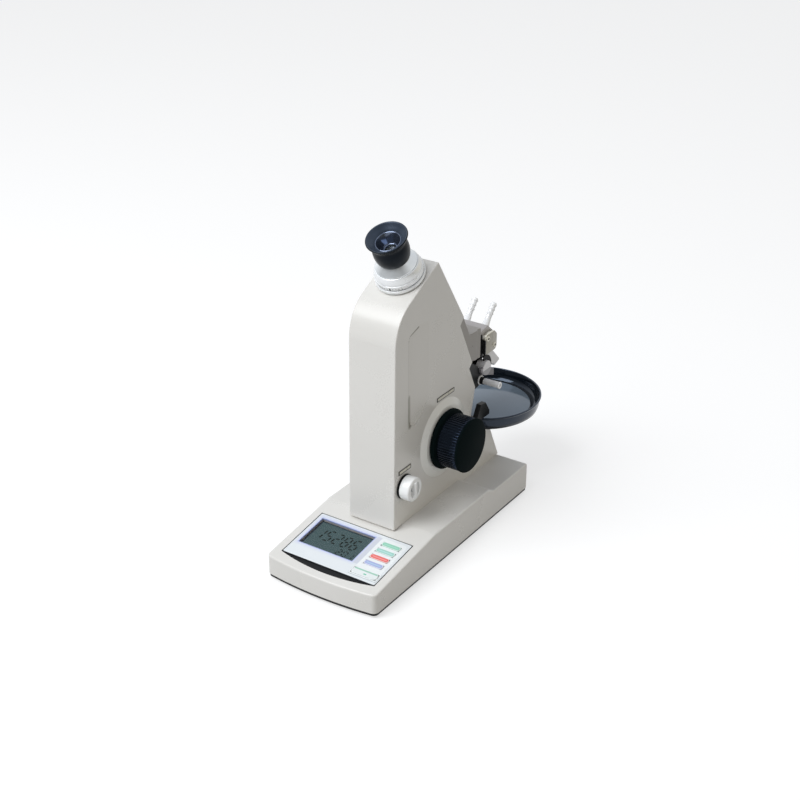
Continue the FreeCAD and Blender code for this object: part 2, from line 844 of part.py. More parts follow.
def column_housing():
    """Cast column: a hollow shell with a boss, scoops, seats and bores."""
    outer = Part.Face(column_wire(-half_column)).extrude(V(column_width, 0, 0))
    edges = []
    for edge in outer.Edges:
        mid = edge.valueAt((edge.FirstParameter + edge.LastParameter) / 2)
        at_side = abs(abs(mid.x) - half_column) < running_clearance
        at_ridge = mid.z > apex_z - overrun
        if mid.z > deck_z + overrun and (at_side or at_ridge):
            edges.append(edge)
    outer = outer.makeFillet(column_edge_radius, edges)
    boss = Part.makeCone(boss_foot_radius, boss_top_radius, boss_height, V(half_column, knob_y, knob_z), X_AXIS)
    for scoop in both_sides(side_scoop()):
        outer = outer.cut(scoop)
    shell = outer.fuse(boss)
    inner = Part.Face(column_wire(-inner_half)).makeOffset2D(-column_wall, 2)
    shell = shell.cut(inner.extrude(V(inner_half * 2, 0, 0)))
    for y, z in frame_post_places:
        shell = shell.fuse(rod(frame_post_radius, -inner_half, frame_x, y, z))
    shell = shell.fuse(rod(pivot_boss_radius, inner_half - pivot_boss_height, inner_half, mirror_y, mirror_z))
    for x, y in column_screw_places():
        post = Part.makeCylinder(screw_post_radius, screw_grip * 2, V(x, y, deck_z))
        shell = shell.fuse(post)
    cuts = [rod(frame_screw_radius, -half_column + column_wall / 2, frame_x, y, z) for y,
            z in frame_post_places]
    cuts += [Part.makeCylinder(screw_radius, screw_grip, V(x, y, deck_z)) for x, y in column_screw_places()]
    cuts.append(rod(stub_radius + running_clearance, inner_half - pivot_boss_height, inner_half, mirror_y,
                    mirror_z))
    cuts.append(rod(bush_radius, inner_half - overrun, knob_back_x, knob_y, knob_z))
    cuts.append(rod(small_bush_radius, inner_half - overrun, half_column + overrun, small_knob_y, small_knob_z))
    cuts.append(along(tube_radius + running_clearance, eye_origin, axis_out, -column_wall * 2, column_wall))
    cuts.append(block(-floor_opening_half_width, floor_opening_half_width, floor_opening_front_y,
                      floor_opening_rear_y, deck_z - overrun, deck_z + column_wall + overrun))
    cuts.append(Part.makeCylinder(beam_radius, prism_back_y - mirror_y, V(0, mirror_y, mirror_z), Y_AXIS))
    down, out = seat_line()
    for point in block_screw_points():
        cuts.append(along(screw_radius + running_clearance, point, out, -column_wall - overrun, overrun))
    return shell.cut(cuts)


def label_plates():
    """Two bare plates on the right side."""
    plates = []
    for y, z, length in ((upper_label_y, upper_label_z, upper_label_length),
                         (lower_label_y, lower_label_z, lower_label_length)):
        plate = block(half_column, half_column + label_thickness, y, y + length, z, z + label_height)
        plates.append(eased(plate, small_ease))
    return plates


def knob_bush():
    """Bearing bush of the measuring knob in the boss."""
    start = inner_half - bush_depth
    outer = rod(bush_radius, inner_half - overrun, half_column + boss_height, knob_y, knob_z)
    outer = outer.fuse(rod(bush_radius + column_wall / 2, start, inner_half, knob_y, knob_z))
    return outer.cut(rod(shaft_radius + running_clearance, start, knob_back_x, knob_y, knob_z)).removeSplitter()


def measuring_knob():
    """Large ribbed knob, hollowed on its inner side."""
    back = V(knob_back_x, knob_y, knob_z)
    flange_end = knob_flange_depth
    rim_start = knob_length - knob_rim_depth
    points = [
        (shaft_radius, 0),
        (knob_flange_radius - knob_edge, 0),
        (knob_flange_radius, knob_edge),
        (knob_flange_radius, flange_end - knob_edge),
        (knob_flange_radius - knob_edge, flange_end),
        (knob_drum_radius - knob_rib_height, flange_end),
        (knob_drum_radius - knob_rib_height, rim_start),
        (knob_drum_radius + knob_edge / 3, rim_start),
        (knob_drum_radius + knob_edge / 3, knob_length - knob_edge),
        (knob_drum_radius - knob_edge, knob_length),
        (0, knob_length),
        (0, knob_length - knob_edge * 2),
        (shaft_radius, knob_length - knob_edge * 2),
    ]
    knob = turned(points, back, X_AXIS)
    pitch = FULL_TURN / knob_rib_count
    width = 2 * math.pi * knob_drum_radius / knob_rib_count * knob_rib_share
    rib = block(knob_back_x + flange_end, knob_back_x + rim_start, knob_y - width / 2, knob_y + width / 2,
                knob_z + knob_drum_radius - knob_rib_height * 2, knob_z + knob_drum_radius)
    ribs = []
    for i in range(knob_rib_count):
        copy = rib.copy()
        copy.rotate(V(0, knob_y, knob_z), X_AXIS, i * pitch)
        ribs.append(copy)
    return knob.fuse(ribs).removeSplitter()


def measuring_shaft():
    """Shaft from the knob to the frame plate, with its pinion cut on it."""
    end = knob_face_x - knob_edge * 2
    shaft = rod(shaft_radius - tooth_module, frame_x, inner_half - bush_depth - overrun, knob_y, knob_z)
    shaft = shaft.fuse(rod(shaft_radius, inner_half - bush_depth - overrun, end, knob_y, knob_z))
    return shaft.fuse(drive_pinion()).removeSplitter()


def gear_teeth(radius, pitch_angle, first, count, x0, x1):
    """Straight-sided teeth round a centre at the origin, the first at a given angle from +Y."""
    root = radius - tooth_module * tooth_root_share
    tip = radius + tooth_module * tooth_tip_share
    teeth = []
    for i in range(count):
        middle = first + i * pitch_angle
        outline = []
        shares = zip((root - tooth_module / 2, radius, tip), tooth_half_width_shares)
        levels = [(r, share * pitch_angle * radius / r) for r, share in shares]
        for r, half in levels:
            outline.append((r, middle - half))
        for r, half in reversed(levels):
            outline.append((r, middle + half))
        points = [(r * math.cos(a), r * math.sin(a)) for r, a in outline]
        teeth.append(slab(points, x0, x1))
    return teeth


def mesh_line():
    """Angle from the mirror's pivot to the knob's shaft."""
    return math.atan2(knob_z - mirror_z, knob_y - mirror_y)


def drive_pinion():
    """Toothed pinion; one of its gaps points at the mirror's pivot."""
    x0 = sector_x - sector_thickness * 0.1
    x1 = sector_x + sector_thickness * 1.1
    pitch = 2 * math.pi / pinion_teeth
    first = mesh_line() + math.pi + pitch / 2
    root = pinion_radius - tooth_module * tooth_root_share
    gear = rod(root, x0, x1, 0, 0).fuse(gear_teeth(pinion_radius, pitch, first, pinion_teeth, x0, x1))
    gear.translate(V(0, knob_y, knob_z))
    return gear.removeSplitter()


def encoder_disc():
    """Slotted disc that turns with the knob's shaft."""
    bore = shaft_radius - tooth_module
    disc = rod(disc_radius, disc_x, disc_x + disc_thickness, knob_y, knob_z)
    disc = disc.fuse(rod(hub_radius, disc_x, disc_x + disc_hub_length, knob_y, knob_z))
    return disc.cut(rod(bore, disc_x - overrun, disc_x + disc_hub_length + overrun, knob_y,
                        knob_z)).removeSplitter()


def encoder_reader():
    """Light gate round the disc's lower edge, fixed to the frame plate."""
    top = knob_z - disc_radius + reader_height / 2
    end = disc_x + disc_thickness + reader_gap + reader_far_wall
    body = block(frame_face_x, end, knob_y - reader_width / 2, knob_y + reader_width / 2,
                 top - reader_height, top)
    slot = block(disc_x - reader_gap, disc_x + disc_thickness + reader_gap, knob_y - reader_width,
                 knob_y + reader_width, top - reader_height / 2 - reader_gap * 2, top + overrun)
    return body.cut(slot)


def sector_gear():
    """Toothed sector on the mirror's cradle, driven by the pinion."""
    x0 = sector_x
    x1 = sector_x + sector_thickness
    pitch = 2 * math.pi / pinion_teeth * pinion_radius / sector_radius
    count = int(2 * math.radians(sector_half_angle) / pitch)
    count += 1 - count % 2
    first = mesh_line() - (count // 2) * pitch
    root = sector_radius - tooth_module * tooth_root_share
    rim = rod(root, x0, x1, 0, 0).cut(rod(root - sector_rim, x0, x1, 0, 0))
    half = (count / 2) * pitch
    reach = sector_radius * 2
    fan = [(0, 0)]
    for a in (-half, 0, half):
        fan.append((reach * math.cos(mesh_line() + a), reach * math.sin(mesh_line() + a)))
    rim = rim.common(slab(fan, x0, x1))
    arm = block(x0, x1, 0, root - sector_rim / 2, -sector_arm_half_width, sector_arm_half_width)
    arm.rotate(V(0, 0, 0), X_AXIS, math.degrees(mesh_line()))
    hub = rod(hub_radius, x0, x1, 0, 0)
    gear = hub.fuse([rim, arm] + gear_teeth(sector_radius, pitch, first, count, x0, x1))
    gear = gear.cut(rod(stub_radius, x0 - overrun, x1 + overrun, 0, 0))
    gear.translate(V(0, mirror_y, mirror_z))
    return gear.removeSplitter()


def mirror_tilt():
    """Tilt that turns a level beam up the telescope's axis."""
    normal = (V(0, 1, 0) + axis_out).normalize()
    return math.degrees(math.atan2(normal.z, normal.y)) - 90


def mirror_cradle():
    """Cradle with two stub shafts that holds the mirror from behind."""
    half = mirror_width / 2
    low = -mirror_thickness - cradle_wall
    back = block(-half - cradle_wall, half + cradle_wall, -mirror_length / 2, mirror_length / 2, low,
                 -mirror_thickness)
    parts = []
    for sign in (-1, 1):
        x0 = sign * half if sign > 0 else -half - cradle_wall
        parts.append(rod(mirror_thickness + cradle_wall, x0, x0 + cradle_wall, 0, 0))
    parts.append(rod(stub_radius, frame_x, -half, 0, 0))
    parts.append(rod(stub_radius, half, inner_half - free_gap, 0, 0))
    cradle = back.fuse(parts)
    cradle.rotate(V(0, 0, 0), X_AXIS, mirror_tilt())
    cradle.translate(V(0, mirror_y, mirror_z))
    return cradle.removeSplitter()


def tilting_mirror():
    """Front-silvered mirror whose face lies on the pivot line."""
    half = mirror_width / 2
    mirror = block(-half, half, -mirror_length / 2, mirror_length / 2, -mirror_thickness, 0)
    mirror.rotate(V(0, 0, 0), X_AXIS, mirror_tilt())
    mirror.translate(V(0, mirror_y, mirror_z))
    return mirror


def optics_frame():
    """Plate on the left wall's posts; it carries shafts and the telescope."""
    far = frame_margin
    points = [
        (knob_y - far, knob_z - frame_low_margin),
        (knob_y + far, knob_z - frame_low_margin),
        (mirror_y + far * 1.2, mirror_z - far * 1.8),
        (mirror_y + far * 1.2, mirror_z + far * 1.5),
        (cross_centre.y + far * 0.8, cross_centre.z + far * 0.7),
        (cross_centre.y - far * 0.8, cross_centre.z + far * 0.7),
        (knob_y - far * 1.4, knob_z + far * 2),
    ]
    plate = slab(points, frame_x, frame_face_x)
    bearings = ((knob_y, knob_z, shaft_radius - tooth_module), (mirror_y, mirror_z, stub_radius),
                (cross_centre.y, cross_centre.z, cross_shaft_radius))
    for y, z, radius in bearings:
        plate = plate.cut(rod(radius + running_clearance, frame_x - overrun, frame_face_x + overrun, y, z))
    for y, z in frame_post_places:
        plate = plate.cut(rod(frame_screw_radius, frame_x - overrun, frame_face_x + overrun, y, z))
    return plate


def inner_screws():
    """Screws of the frame plate and of the prism block."""
    screws = []
    reach = frame_thickness + frame_post_radius
    for y, z in frame_post_places:
        screws.append(screw(V(frame_face_x, y, z), V(-1, 0, 0), reach, frame_screw_radius))
    down, out = seat_line()
    for point in block_screw_points():
        screws.append(screw(point - out * column_wall, out, column_wall + block_screw_grip, screw_radius))
    return screws


def compensator_knob():
    """Small white knob with a raised grip bar."""
    start = half_column + small_knob_ring
    end = start + small_knob_length
    face = V(start, small_knob_y, small_knob_z)
    points = [
        (small_shaft_radius, 0),
        (small_knob_radius, 0),
        (small_knob_radius, small_knob_length - small_knob_edge),
        (small_knob_radius - small_knob_edge, small_knob_length),
        (0, small_knob_length),
        (0, small_knob_length - small_knob_edge * 2),
        (small_shaft_radius, small_knob_length - small_knob_edge * 2),
    ]
    knob = turned(points, face, X_AXIS)
    half = small_knob_radius * 0.7
    bar = block(end - small_knob_edge, end + small_knob_bar_height, small_knob_y - small_knob_bar_half,
                small_knob_y + small_knob_bar_half, small_knob_z - half, small_knob_z + half)
    return knob.fuse(bar).removeSplitter()


def compensator_knob_ring():
    """Black ring behind the white knob, turning with it."""
    x0 = half_column + free_gap
    ring = rod(small_knob_ring_radius, x0, half_column + small_knob_ring, small_knob_y, small_knob_z)
    return ring.cut(rod(small_shaft_radius, x0, half_column + small_knob_ring, small_knob_y, small_knob_z))


def pulley(y, z):
    """Flanged pulley in the belt's plane."""
    wheel = rod(pulley_radius, belt_x, belt_x + pulley_width, y, z)
    for x in (belt_x, belt_x + pulley_width - pulley_flange):
        wheel = wheel.fuse(rod(pulley_flange_radius, x, x + pulley_flange, y, z))
    return wheel


def compensator_shaft():
    """Shaft across the column with the lower pulley."""
    end = half_column + small_knob_ring + small_knob_length - small_knob_edge * 2
    shaft = rod(small_shaft_radius, -inner_half, end, small_knob_y, small_knob_z)
    return shaft.fuse(pulley(small_knob_y, small_knob_z)).removeSplitter()


def compensator_bushes():
    """Bushes of the compensator shaft in both walls."""
    right = rod(small_bush_radius, inner_half - overrun, half_column + overrun / 5, small_knob_y, small_knob_z)
    right = right.fuse(rod(small_bush_radius + overrun, inner_half - bush_depth / 2, inner_half, small_knob_y,
                           small_knob_z))
    left = rod(small_bush_radius, -inner_half, -inner_half + left_bush_length, small_knob_y, small_knob_z)
    bore = rod(small_shaft_radius + running_clearance, -half_column, half_column + column_width, small_knob_y,
               small_knob_z)
    return [right.cut(bore).removeSplitter(), left.cut(bore)]


def cross_shaft():
    """Short shaft with the upper pulley and the small wheel between the cells."""
    y = cross_centre.y
    z = cross_centre.z
    tip = -(tube_radius - bevel_length)
    shaft = rod(cross_shaft_radius, belt_x, tip, y, z)
    wheel = rod(bevel_radius, tip - bevel_length, tip, y, z)
    return shaft.fuse([pulley(y, z), wheel]).removeSplitter()


def drive_belt():
    """Flat belt round both pulleys."""
    x0 = belt_x + pulley_flange + belt_side_gap
    x1 = belt_x + pulley_width - pulley_flange - belt_side_gap
    low = V(x0, small_knob_y, small_knob_z)
    high = V(x0, cross_centre.y, cross_centre.z)
    inner_radius = pulley_radius + belt_gap
    outer_radius = inner_radius + belt_thickness
    return belt_loop(low, high, outer_radius, x1 - x0).cut(belt_loop(low, high, inner_radius, x1 - x0))


def belt_loop(low, high, radius, width):
    """Two rounds joined by straight sides."""
    run = high - low
    side = V(0, -run.z, run.y).normalize() * radius
    wire = Part.makePolygon([low + side, high + side, high - side, low - side, low + side])
    body = Part.Face(wire).extrude(V(width, 0, 0))
    ends = [Part.makeCylinder(radius, width, point, X_AXIS) for point in (low, high)]
    return body.fuse(ends).removeSplitter()


def telescope_tube():
    """Tube from the slope down to the compensator sleeve."""
    tube = along(tube_radius, eye_origin, axis_out, tube_top - tube_length, tube_top)
    bottom = tube_top - tube_length
    tube = tube.cut(along(tube_bore_radius, eye_origin, axis_out, bottom - overrun, tube_top + overrun))
    stop = along(tube_radius - overrun / 2, eye_origin, axis_out, bottom, bottom + objective_inset)
    stop = stop.cut(along(cell_bore_radius, eye_origin, axis_out, bottom - overrun,
                          bottom + objective_inset + overrun))
    return tube.fuse(stop).removeSplitter()


def objective_lens():
    """Objective at the lower end of the tube, with two bowed faces."""
    low = tube_top - tube_length + objective_inset
    bulge = objective_thickness / 4
    points = [
        (0, low + bulge / 4),
        (cell_bore_radius / 2, low + bulge / 8),
        (tube_bore_radius, low),
        (tube_bore_radius, low + objective_thickness - bulge),
        (cell_bore_radius / 2, low + objective_thickness - bulge / 4),
        (0, low + objective_thickness),
    ]
    return turned(points, eye_origin, axis_out)


def compensator_sleeve():
    """Sleeve under the telescope tube, on a saddle against the frame plate."""
    bore = tube_radius + running_clearance
    sleeve = along(bore + sleeve_wall, eye_origin, axis_out, sleeve_bottom, sleeve_top)
    saddle = Part.makeBox(-frame_face_x, sleeve_saddle_half_width * 2, sleeve_top - sleeve_bottom,
                          V(frame_face_x, -sleeve_saddle_half_width, sleeve_bottom))
    saddle.rotate(V(0, 0, 0), X_AXIS, column_slope_angle)
    saddle.translate(eye_origin)
    sleeve = sleeve.fuse(saddle)
    sleeve = sleeve.cut(along(bore, eye_origin, axis_out, sleeve_bottom + sleeve_lip, sleeve_top + overrun))
    sleeve = sleeve.cut(along(cell_bore_radius, eye_origin, axis_out, sleeve_bottom - overrun, sleeve_top))
    reach = bevel_radius + free_gap
    return sleeve.cut(rod(reach, frame_face_x - overrun, 0, cross_centre.y, cross_centre.z)).removeSplitter()


def compensator_prism(top):
    """A round dispersion prism, cemented in its cell."""
    return along(cell_bore_radius, eye_origin, axis_out, top - cell_depth, top)


def compensator_cell(top):
    """Turning ring that holds a dispersion prism."""
    ring = along(tube_radius, eye_origin, axis_out, top - cell_depth, top)
    return ring.cut(compensator_prism(top))


def eyepiece_flange():
    """Fixed flange on the slope round the telescope tube."""
    neck = flange_radius - focus_wall * 3
    points = [
        (tube_radius, 0),
        (flange_radius - flange_groove, 0),
        (flange_radius, flange_groove),
        (flange_radius, flange_height - flange_groove),
        (flange_radius - flange_groove, flange_height),
        (neck, flange_height),
        (neck, flange_height + focus_height / 2),
        (neck - focus_wall, flange_height + focus_height / 2),
        (neck - focus_wall, tube_top),
        (tube_radius, tube_top),
    ]
    return turned(points, eye_origin, axis_out)


def focus_ring():
    """Tapered focus ring that turns round the flange's neck."""
    neck = flange_radius - focus_wall * 3 + running_clearance
    low = flange_height + free_gap
    high = low + focus_height
    bore = barrel_neck_radius + free_gap
    points = [
        (neck, low),
        (focus_foot_radius, low),
        (focus_foot_radius, low + focus_height * 0.35),
        (focus_top_radius, high),
        (bore, high),
        (bore, high - focus_wall),
        (neck, high - focus_wall),
    ]
    return turned(points, eye_origin, axis_out)


def barrel_heights():
    """Foot of the barrel's cone and the seat of the eyecup above it."""
    foot = flange_height + free_gap * 2 + focus_height
    return foot, foot + barrel_cone_height


def eyepiece_barrel():
    """Chromed barrel: a cone above the focus ring and a sleeve in the tube."""
    foot, seat = barrel_heights()
    points = [
        (barrel_bore_radius, foot - barrel_sleeve_length),
        (barrel_sleeve_radius, foot - barrel_sleeve_length),
        (barrel_sleeve_radius, foot - focus_wall * 2),
        (barrel_neck_radius, foot - focus_wall * 2),
        (barrel_neck_radius, foot),
        (barrel_cone_radius, foot),
        (barrel_cone_radius, foot + focus_wall / 2),
        (barrel_neck_radius, seat),
        (barrel_sleeve_radius, seat),
        (barrel_sleeve_radius, seat + barrel_top_height),
        (barrel_bore_radius, seat + barrel_top_height),
    ]
    return turned(points, eye_origin, axis_out)


def eyecup():
    """Rubber eyecup with a flared mouth."""
    foot, seat = barrel_heights()
    top = seat + eyecup_height
    throat = seat + barrel_top_height
    points = [
        (barrel_sleeve_radius, seat),
        (barrel_neck_radius, seat),
        (eyecup_belly_radius * 0.93, seat + eyecup_height * 0.14),
        (eyecup_belly_radius, seat + eyecup_height * 0.34),
        (eyecup_belly_radius, seat + eyecup_height * 0.48),
        (eyecup_waist_radius, seat + eyecup_height * 0.70),
        (eyecup_rim_radius - eyecup_lip, top - eyecup_lip * 2),
        (eyecup_rim_radius, top - eyecup_lip),
        (eyecup_rim_radius - eyecup_lip, top),
        (eyecup_mouth_radius, seat + eyecup_height * 0.78),
        (eye_relief_radius, throat + eyecup_lip),
        (eye_relief_radius, throat),
        (barrel_sleeve_radius, throat),
    ]
    return turned(points, eye_origin, axis_out)


def eye_lens():
    """Eye lens in the top of the barrel."""
    foot, seat = barrel_heights()
    top = seat + barrel_top_height
    points = [
        (0, top - eye_lens_thickness),
        (barrel_bore_radius, top - eye_lens_thickness),
        (barrel_bore_radius, top - eye_lens_thickness / 3),
        (barrel_bore_radius / 2, top - eye_lens_thickness / 8),
        (0, top),
    ]
    return turned(points, eye_origin, axis_out)


def prism_pocket(y0, y1):
    """Room for a prism between two Y values."""
    gap = prism_pocket_gap
    half = prism_half_width + gap
    return block(-half, half, y0, y1, prism_bottom_z - gap, prism_top_z + gap)


def prism_block():
    """Metal block on the column's seat; it holds the measuring prism."""
    top_lean = (seat_top_z - block_front_top_z) / (seat_top_z - seat_z)
    points = [
        (seat_top_y, seat_top_z),
        (seat_y, seat_z),
        (seat_foot_y, seat_foot_z),
        (block_rear_y, block_bottom_z),
        (block_rear_y, block_top_z),
        (seat_top_y + (seat_top_z - block_front_top_z) * 0.53, block_front_top_z),
    ]
    body = slab(points, -block_half_width, block_half_width)
    plan = [
        (block_half_width, seat_y - overrun),
        (block_half_width, block_shoulder_y - block_shoulder_run),
        (block_rear_half_width, block_shoulder_y),
        (block_rear_half_width, block_rear_y + overrun),
    ]
    outline = [V(x, y, block_bottom_z - overrun) for x, y in plan]
    outline += [V(-x, y, block_bottom_z - overrun) for x, y in reversed(plan)]
    sides = Part.Face(Part.makePolygon(outline + outline[:1]))
    body = body.common(sides.extrude(V(0, 0, seat_top_z - block_bottom_z + overrun * 2)))
    body = eased(body, cast_ease)
    body = body.cut(prism_pocket(prism_back_y, block_rear_y + overrun))
    beam = Part.makeCylinder(beam_radius, prism_back_y + overrun - mirror_y, V(0, mirror_y, mirror_z), Y_AXIS)
    body = body.cut(beam)
    down, out = seat_line()
    for point in block_screw_points():
        body = body.cut(along(screw_radius, point, out, -overrun, block_screw_grip))
    return body.removeSplitter()


def main_prism():
    """Measuring prism; its rear face is the sample face."""
    face = measuring_y - sample_gap / 2
    points = [
        (face, prism_top_z),
        (face, prism_bottom_z),
        (prism_back_y, prism_bottom_z),
        (prism_back_y, prism_top_z - prism_slant),
        (prism_back_y + prism_slant, prism_top_z),
    ]
    return slab(points, -prism_half_width, prism_half_width)


def prism_bezel(y0, y1):
    """Black frame round a prism face."""
    frame = eased(block(-bezel_half_width, bezel_half_width, y0, y1, bezel_bottom_z, bezel_top_z),
                  machined_ease)
    return frame.cut(prism_pocket(y0 - overrun, y1 + overrun))


def jacket_base():
    """Black lower part of the water jacket, under the block."""
    down, out = seat_line()
    points = [
        (pocket_top_y, pocket_top_z),
        (seat_foot_y - ledge_step, seat_foot_z - ledge_step),
        (seat_foot_y, seat_foot_z),
        (block_rear_y, jacket_slope_z),
        (jacket_saddle_y, jacket_saddle_z),
        (jacket_rear_y, jacket_rear_top_z),
        (jacket_rear_y, jacket_rear_low_z),
        (pocket_top_y + hinge_barrel_radius * 0.8, jacket_low_z),
    ]
    body = eased(slab(points, -jacket_half_width, jacket_half_width), machined_ease)
    body = body.cut(rod(hinge_barrel_radius, -cheek_x, cheek_x, hinge_y, hinge_z))
    body = body.cut(rod(hinge_barrel_radius + free_gap, -hinge_barrel_start, hinge_barrel_start, hinge_y,
                        hinge_z))
    start = jacket_half_width - nipple_spigot_length
    bore = rod(nipple_spigot_radius, start, jacket_half_width + overrun, lower_nipple_y, lower_nipple_z)
    return body.cut(both_sides(bore)).removeSplitter()


def hinge_cheeks():
    """Two cheeks with the fixed hinge barrels, closed over the pin's ends."""
    points = [
        (cheek_front_y, cheek_front_z),
        (hinge_y - hinge_barrel_radius / 2, hinge_z + hinge_barrel_radius / 2),
        (hinge_y + hinge_barrel_radius * 0.8, hinge_z - hinge_barrel_radius * 0.3),
        (cheek_reach_y, cheek_reach_z),
        (cheek_reach_y, cheek_reach_low_z),
        (cheek_low_y, cheek_low_z),
    ]
    cheek = eased(slab(points, jacket_half_width, cheek_x), machined_ease)
    barrel = eased(rod(hinge_barrel_radius, hinge_barrel_start, cheek_x, hinge_y, hinge_z), machined_ease)
    cheek = cheek.fuse(barrel)
    cheek = cheek.cut(rod(hinge_pin_radius, hinge_barrel_start - overrun, cheek_x - hinge_pin_cover, hinge_y,
                          hinge_z))
    return both_sides(cheek.removeSplitter())


def hinge_pin():
    """Pin through the cheeks and the hinged half."""
    half = cheek_x - hinge_pin_cover
    return rod(hinge_pin_radius, -half, half, hinge_y, hinge_z)


def lid_face_point():
    """Point of the sloping face, midway between the upper nipples."""
    top = V(0, lid_chamfer_y, lid_top_z)
    return top + (V(0, lid_rear_y, lid_chamfer_z) - top) * nipple_place_share


def lid_block():
    """Hinged half: metal body with a brow over the gap, knuckle and lugs."""
    points = [
        (lid_brow_y, lid_brow_z),
        (lid_brow_y, lid_brow_top_z - lid_brow_round),
        (lid_brow_y + lid_brow_round, lid_brow_top_z),
        (lid_chamfer_y, lid_top_z),
        (lid_rear_y, lid_chamfer_z),
        (lid_rear_y, lid_bottom_z + lid_plate_corner),
        (lid_rear_y - lid_plate_corner, lid_bottom_z),
        (lid_front_y, lid_bottom_z),
        (lid_front_y, lid_brow_z),
    ]
    body = eased(slab(points, -lid_half_width, lid_half_width), machined_ease)
    knuckle_half = hinge_barrel_start - knuckle_gap
    arm = block(-knuckle_half, knuckle_half, hinge_y - knuckle_radius, hinge_y + knuckle_radius, hinge_z,
                lid_bottom_z)
    arm = arm.common(block(-cheek_x, cheek_x, lid_front_y, lid_rear_y, hinge_z, lid_bottom_z))
    body = body.fuse([arm, rod(knuckle_radius, -knuckle_half, knuckle_half, hinge_y, hinge_z)])
    lug_points = [
        (lid_front_y, lid_bottom_z + lug_ease * 2),
        (lid_rear_y - lid_plate_corner, lid_bottom_z + lug_ease * 2),
        (lid_rear_y - lid_plate_corner, lid_bottom_z),
        (lug_rear_y, lug_rear_z),
        (lug_low_y, lug_low_z),
        (hinge_y + hinge_barrel_radius * 0.8, hinge_z + hinge_barrel_radius * 0.2),
        (hinge_y, hinge_z + hinge_barrel_radius),
        (lid_front_y, lid_bottom_z - lug_ease * 2),
    ]
    lug = eased(slab(lug_points, hinge_barrel_start + knuckle_gap, lid_half_width), lug_ease)
    body = body.fuse(both_sides(lug))
    for x0, x1 in ((knuckle_half + knuckle_gap / 2, lid_end_x), (-lid_end_x, -knuckle_half - knuckle_gap / 2)):
        body = body.cut(rod(hinge_barrel_radius + lug_relief, x0, x1, hinge_y, hinge_z))
    body = body.cut(rod(hinge_pin_radius + running_clearance, -lid_end_x, lid_end_x, hinge_y, hinge_z))
    body = body.cut(prism_pocket(lid_front_y - overrun, lid_front_y + lid_prism_depth))
    middle = (prism_top_z + prism_bottom_z) / 2
    body = body.cut(block(-lid_window_half_width, lid_window_half_width, lid_front_y, lid_rear_y + overrun,
                          middle - lid_window_half_height, middle + lid_window_half_height))
    for x in (-nipple_x, nipple_x):
        foot = lid_face_point() + V(x, 0, 0)
        body = body.cut(along(nipple_spigot_radius, foot, lid_face_normal, -nipple_spigot_length, overrun))
    for x, y, z in lid_screw_places():
        x0 = x - lid_screw_grip if x > 0 else x
        body = body.cut(rod(lid_screw_radius / 2, x0, x0 + lid_screw_grip, y, z))
    return body.removeSplitter()


def lid_plate_outline():
    """Outline of the end plates in Y and Z."""
    return [
        (lid_front_y, lid_bottom_z),
        (lid_front_y, lid_chamfer_z + lid_plate_corner),
        (lid_chamfer_y, lid_plate_top_z),
        (lid_rear_y - lid_plate_corner * 1.6, lid_plate_top_z - lid_plate_corner / 3),
        (lid_rear_y, lid_chamfer_z - lid_plate_corner / 3),
        (lid_rear_y, lid_bottom_z + lid_plate_corner),
        (lid_rear_y - lid_plate_corner, lid_bottom_z),
    ]


def lid_screw_places():
    """Screw centres on the body's end faces."""
    places = []
    for x in (-lid_half_width, lid_half_width):
        places.append((x, lid_front_y + lid_screw_inset, lid_chamfer_z - lid_screw_inset / 5))
        places.append((x, lid_rear_y - lid_screw_inset, lid_bottom_z + lid_screw_inset * 1.2))
    return places


def lid_side_plates():
    """End plates of the hinged half."""
    plate = eased(slab(lid_plate_outline(), lid_half_width, lid_end_x), machined_ease)
    for x, y, z in lid_screw_places():
        if x > 0:
            plate = plate.cut(rod(lid_screw_radius / 2, x - overrun, lid_end_x + overrun, y, z))
    return both_sides(plate)


def lid_screws():
    """Screws of the end plates."""
    screws = []
    for x, y, z in lid_screw_places():
        if x > 0:
            body = rod(lid_screw_radius, lid_end_x, lid_end_x + lid_screw_height, y, z)
            body = body.fuse(rod(lid_screw_radius / 2, lid_half_width - lid_screw_grip, lid_end_x, y, z))
            screws += both_sides(body.removeSplitter())
    return screws


def illuminating_prism():
    """Prism of the hinged half."""
    face = measuring_y + sample_gap / 2
    back = lid_front_y + lid_prism_depth
    points = [
        (face, prism_top_z),
        (face, prism_bottom_z),
        (back, prism_bottom_z),
        (back, prism_top_z - prism_slant),
        (back - prism_slant, prism_top_z),
    ]
    return slab(points, -prism_half_width, prism_half_width)


def nipple(foot, axis):
    """Barbed hose nipple with a through bore."""
    tip = nipple_length
    points = [
        (nipple_bore_radius, -nipple_spigot_length),
        (nipple_spigot_radius, -nipple_spigot_length),
        (nipple_spigot_radius, 0),
        (nipple_root_radius, 0),
        (nipple_root_radius, nipple_root_length),
        (nipple_radius, nipple_root_length + nipple_cone_length),
    ]
    for share in nipple_barb_shares:
        points.append((nipple_radius, tip * share - nipple_radius / 2))
        points.append((nipple_barb_radius, tip * share - nipple_radius / 3))
        points.append((nipple_radius, tip * share + nipple_radius * 0.7))
    points += [
        (nipple_radius * 0.85, tip),
        (nipple_bore_radius, tip),
    ]
    return turned(points, foot, axis)


def upper_hose_nipples():
    """Two barbed nipples on the hinged half."""
    return [nipple(lid_face_point() + V(x, 0, 0), lid_face_normal) for x in (-nipple_x, nipple_x)]


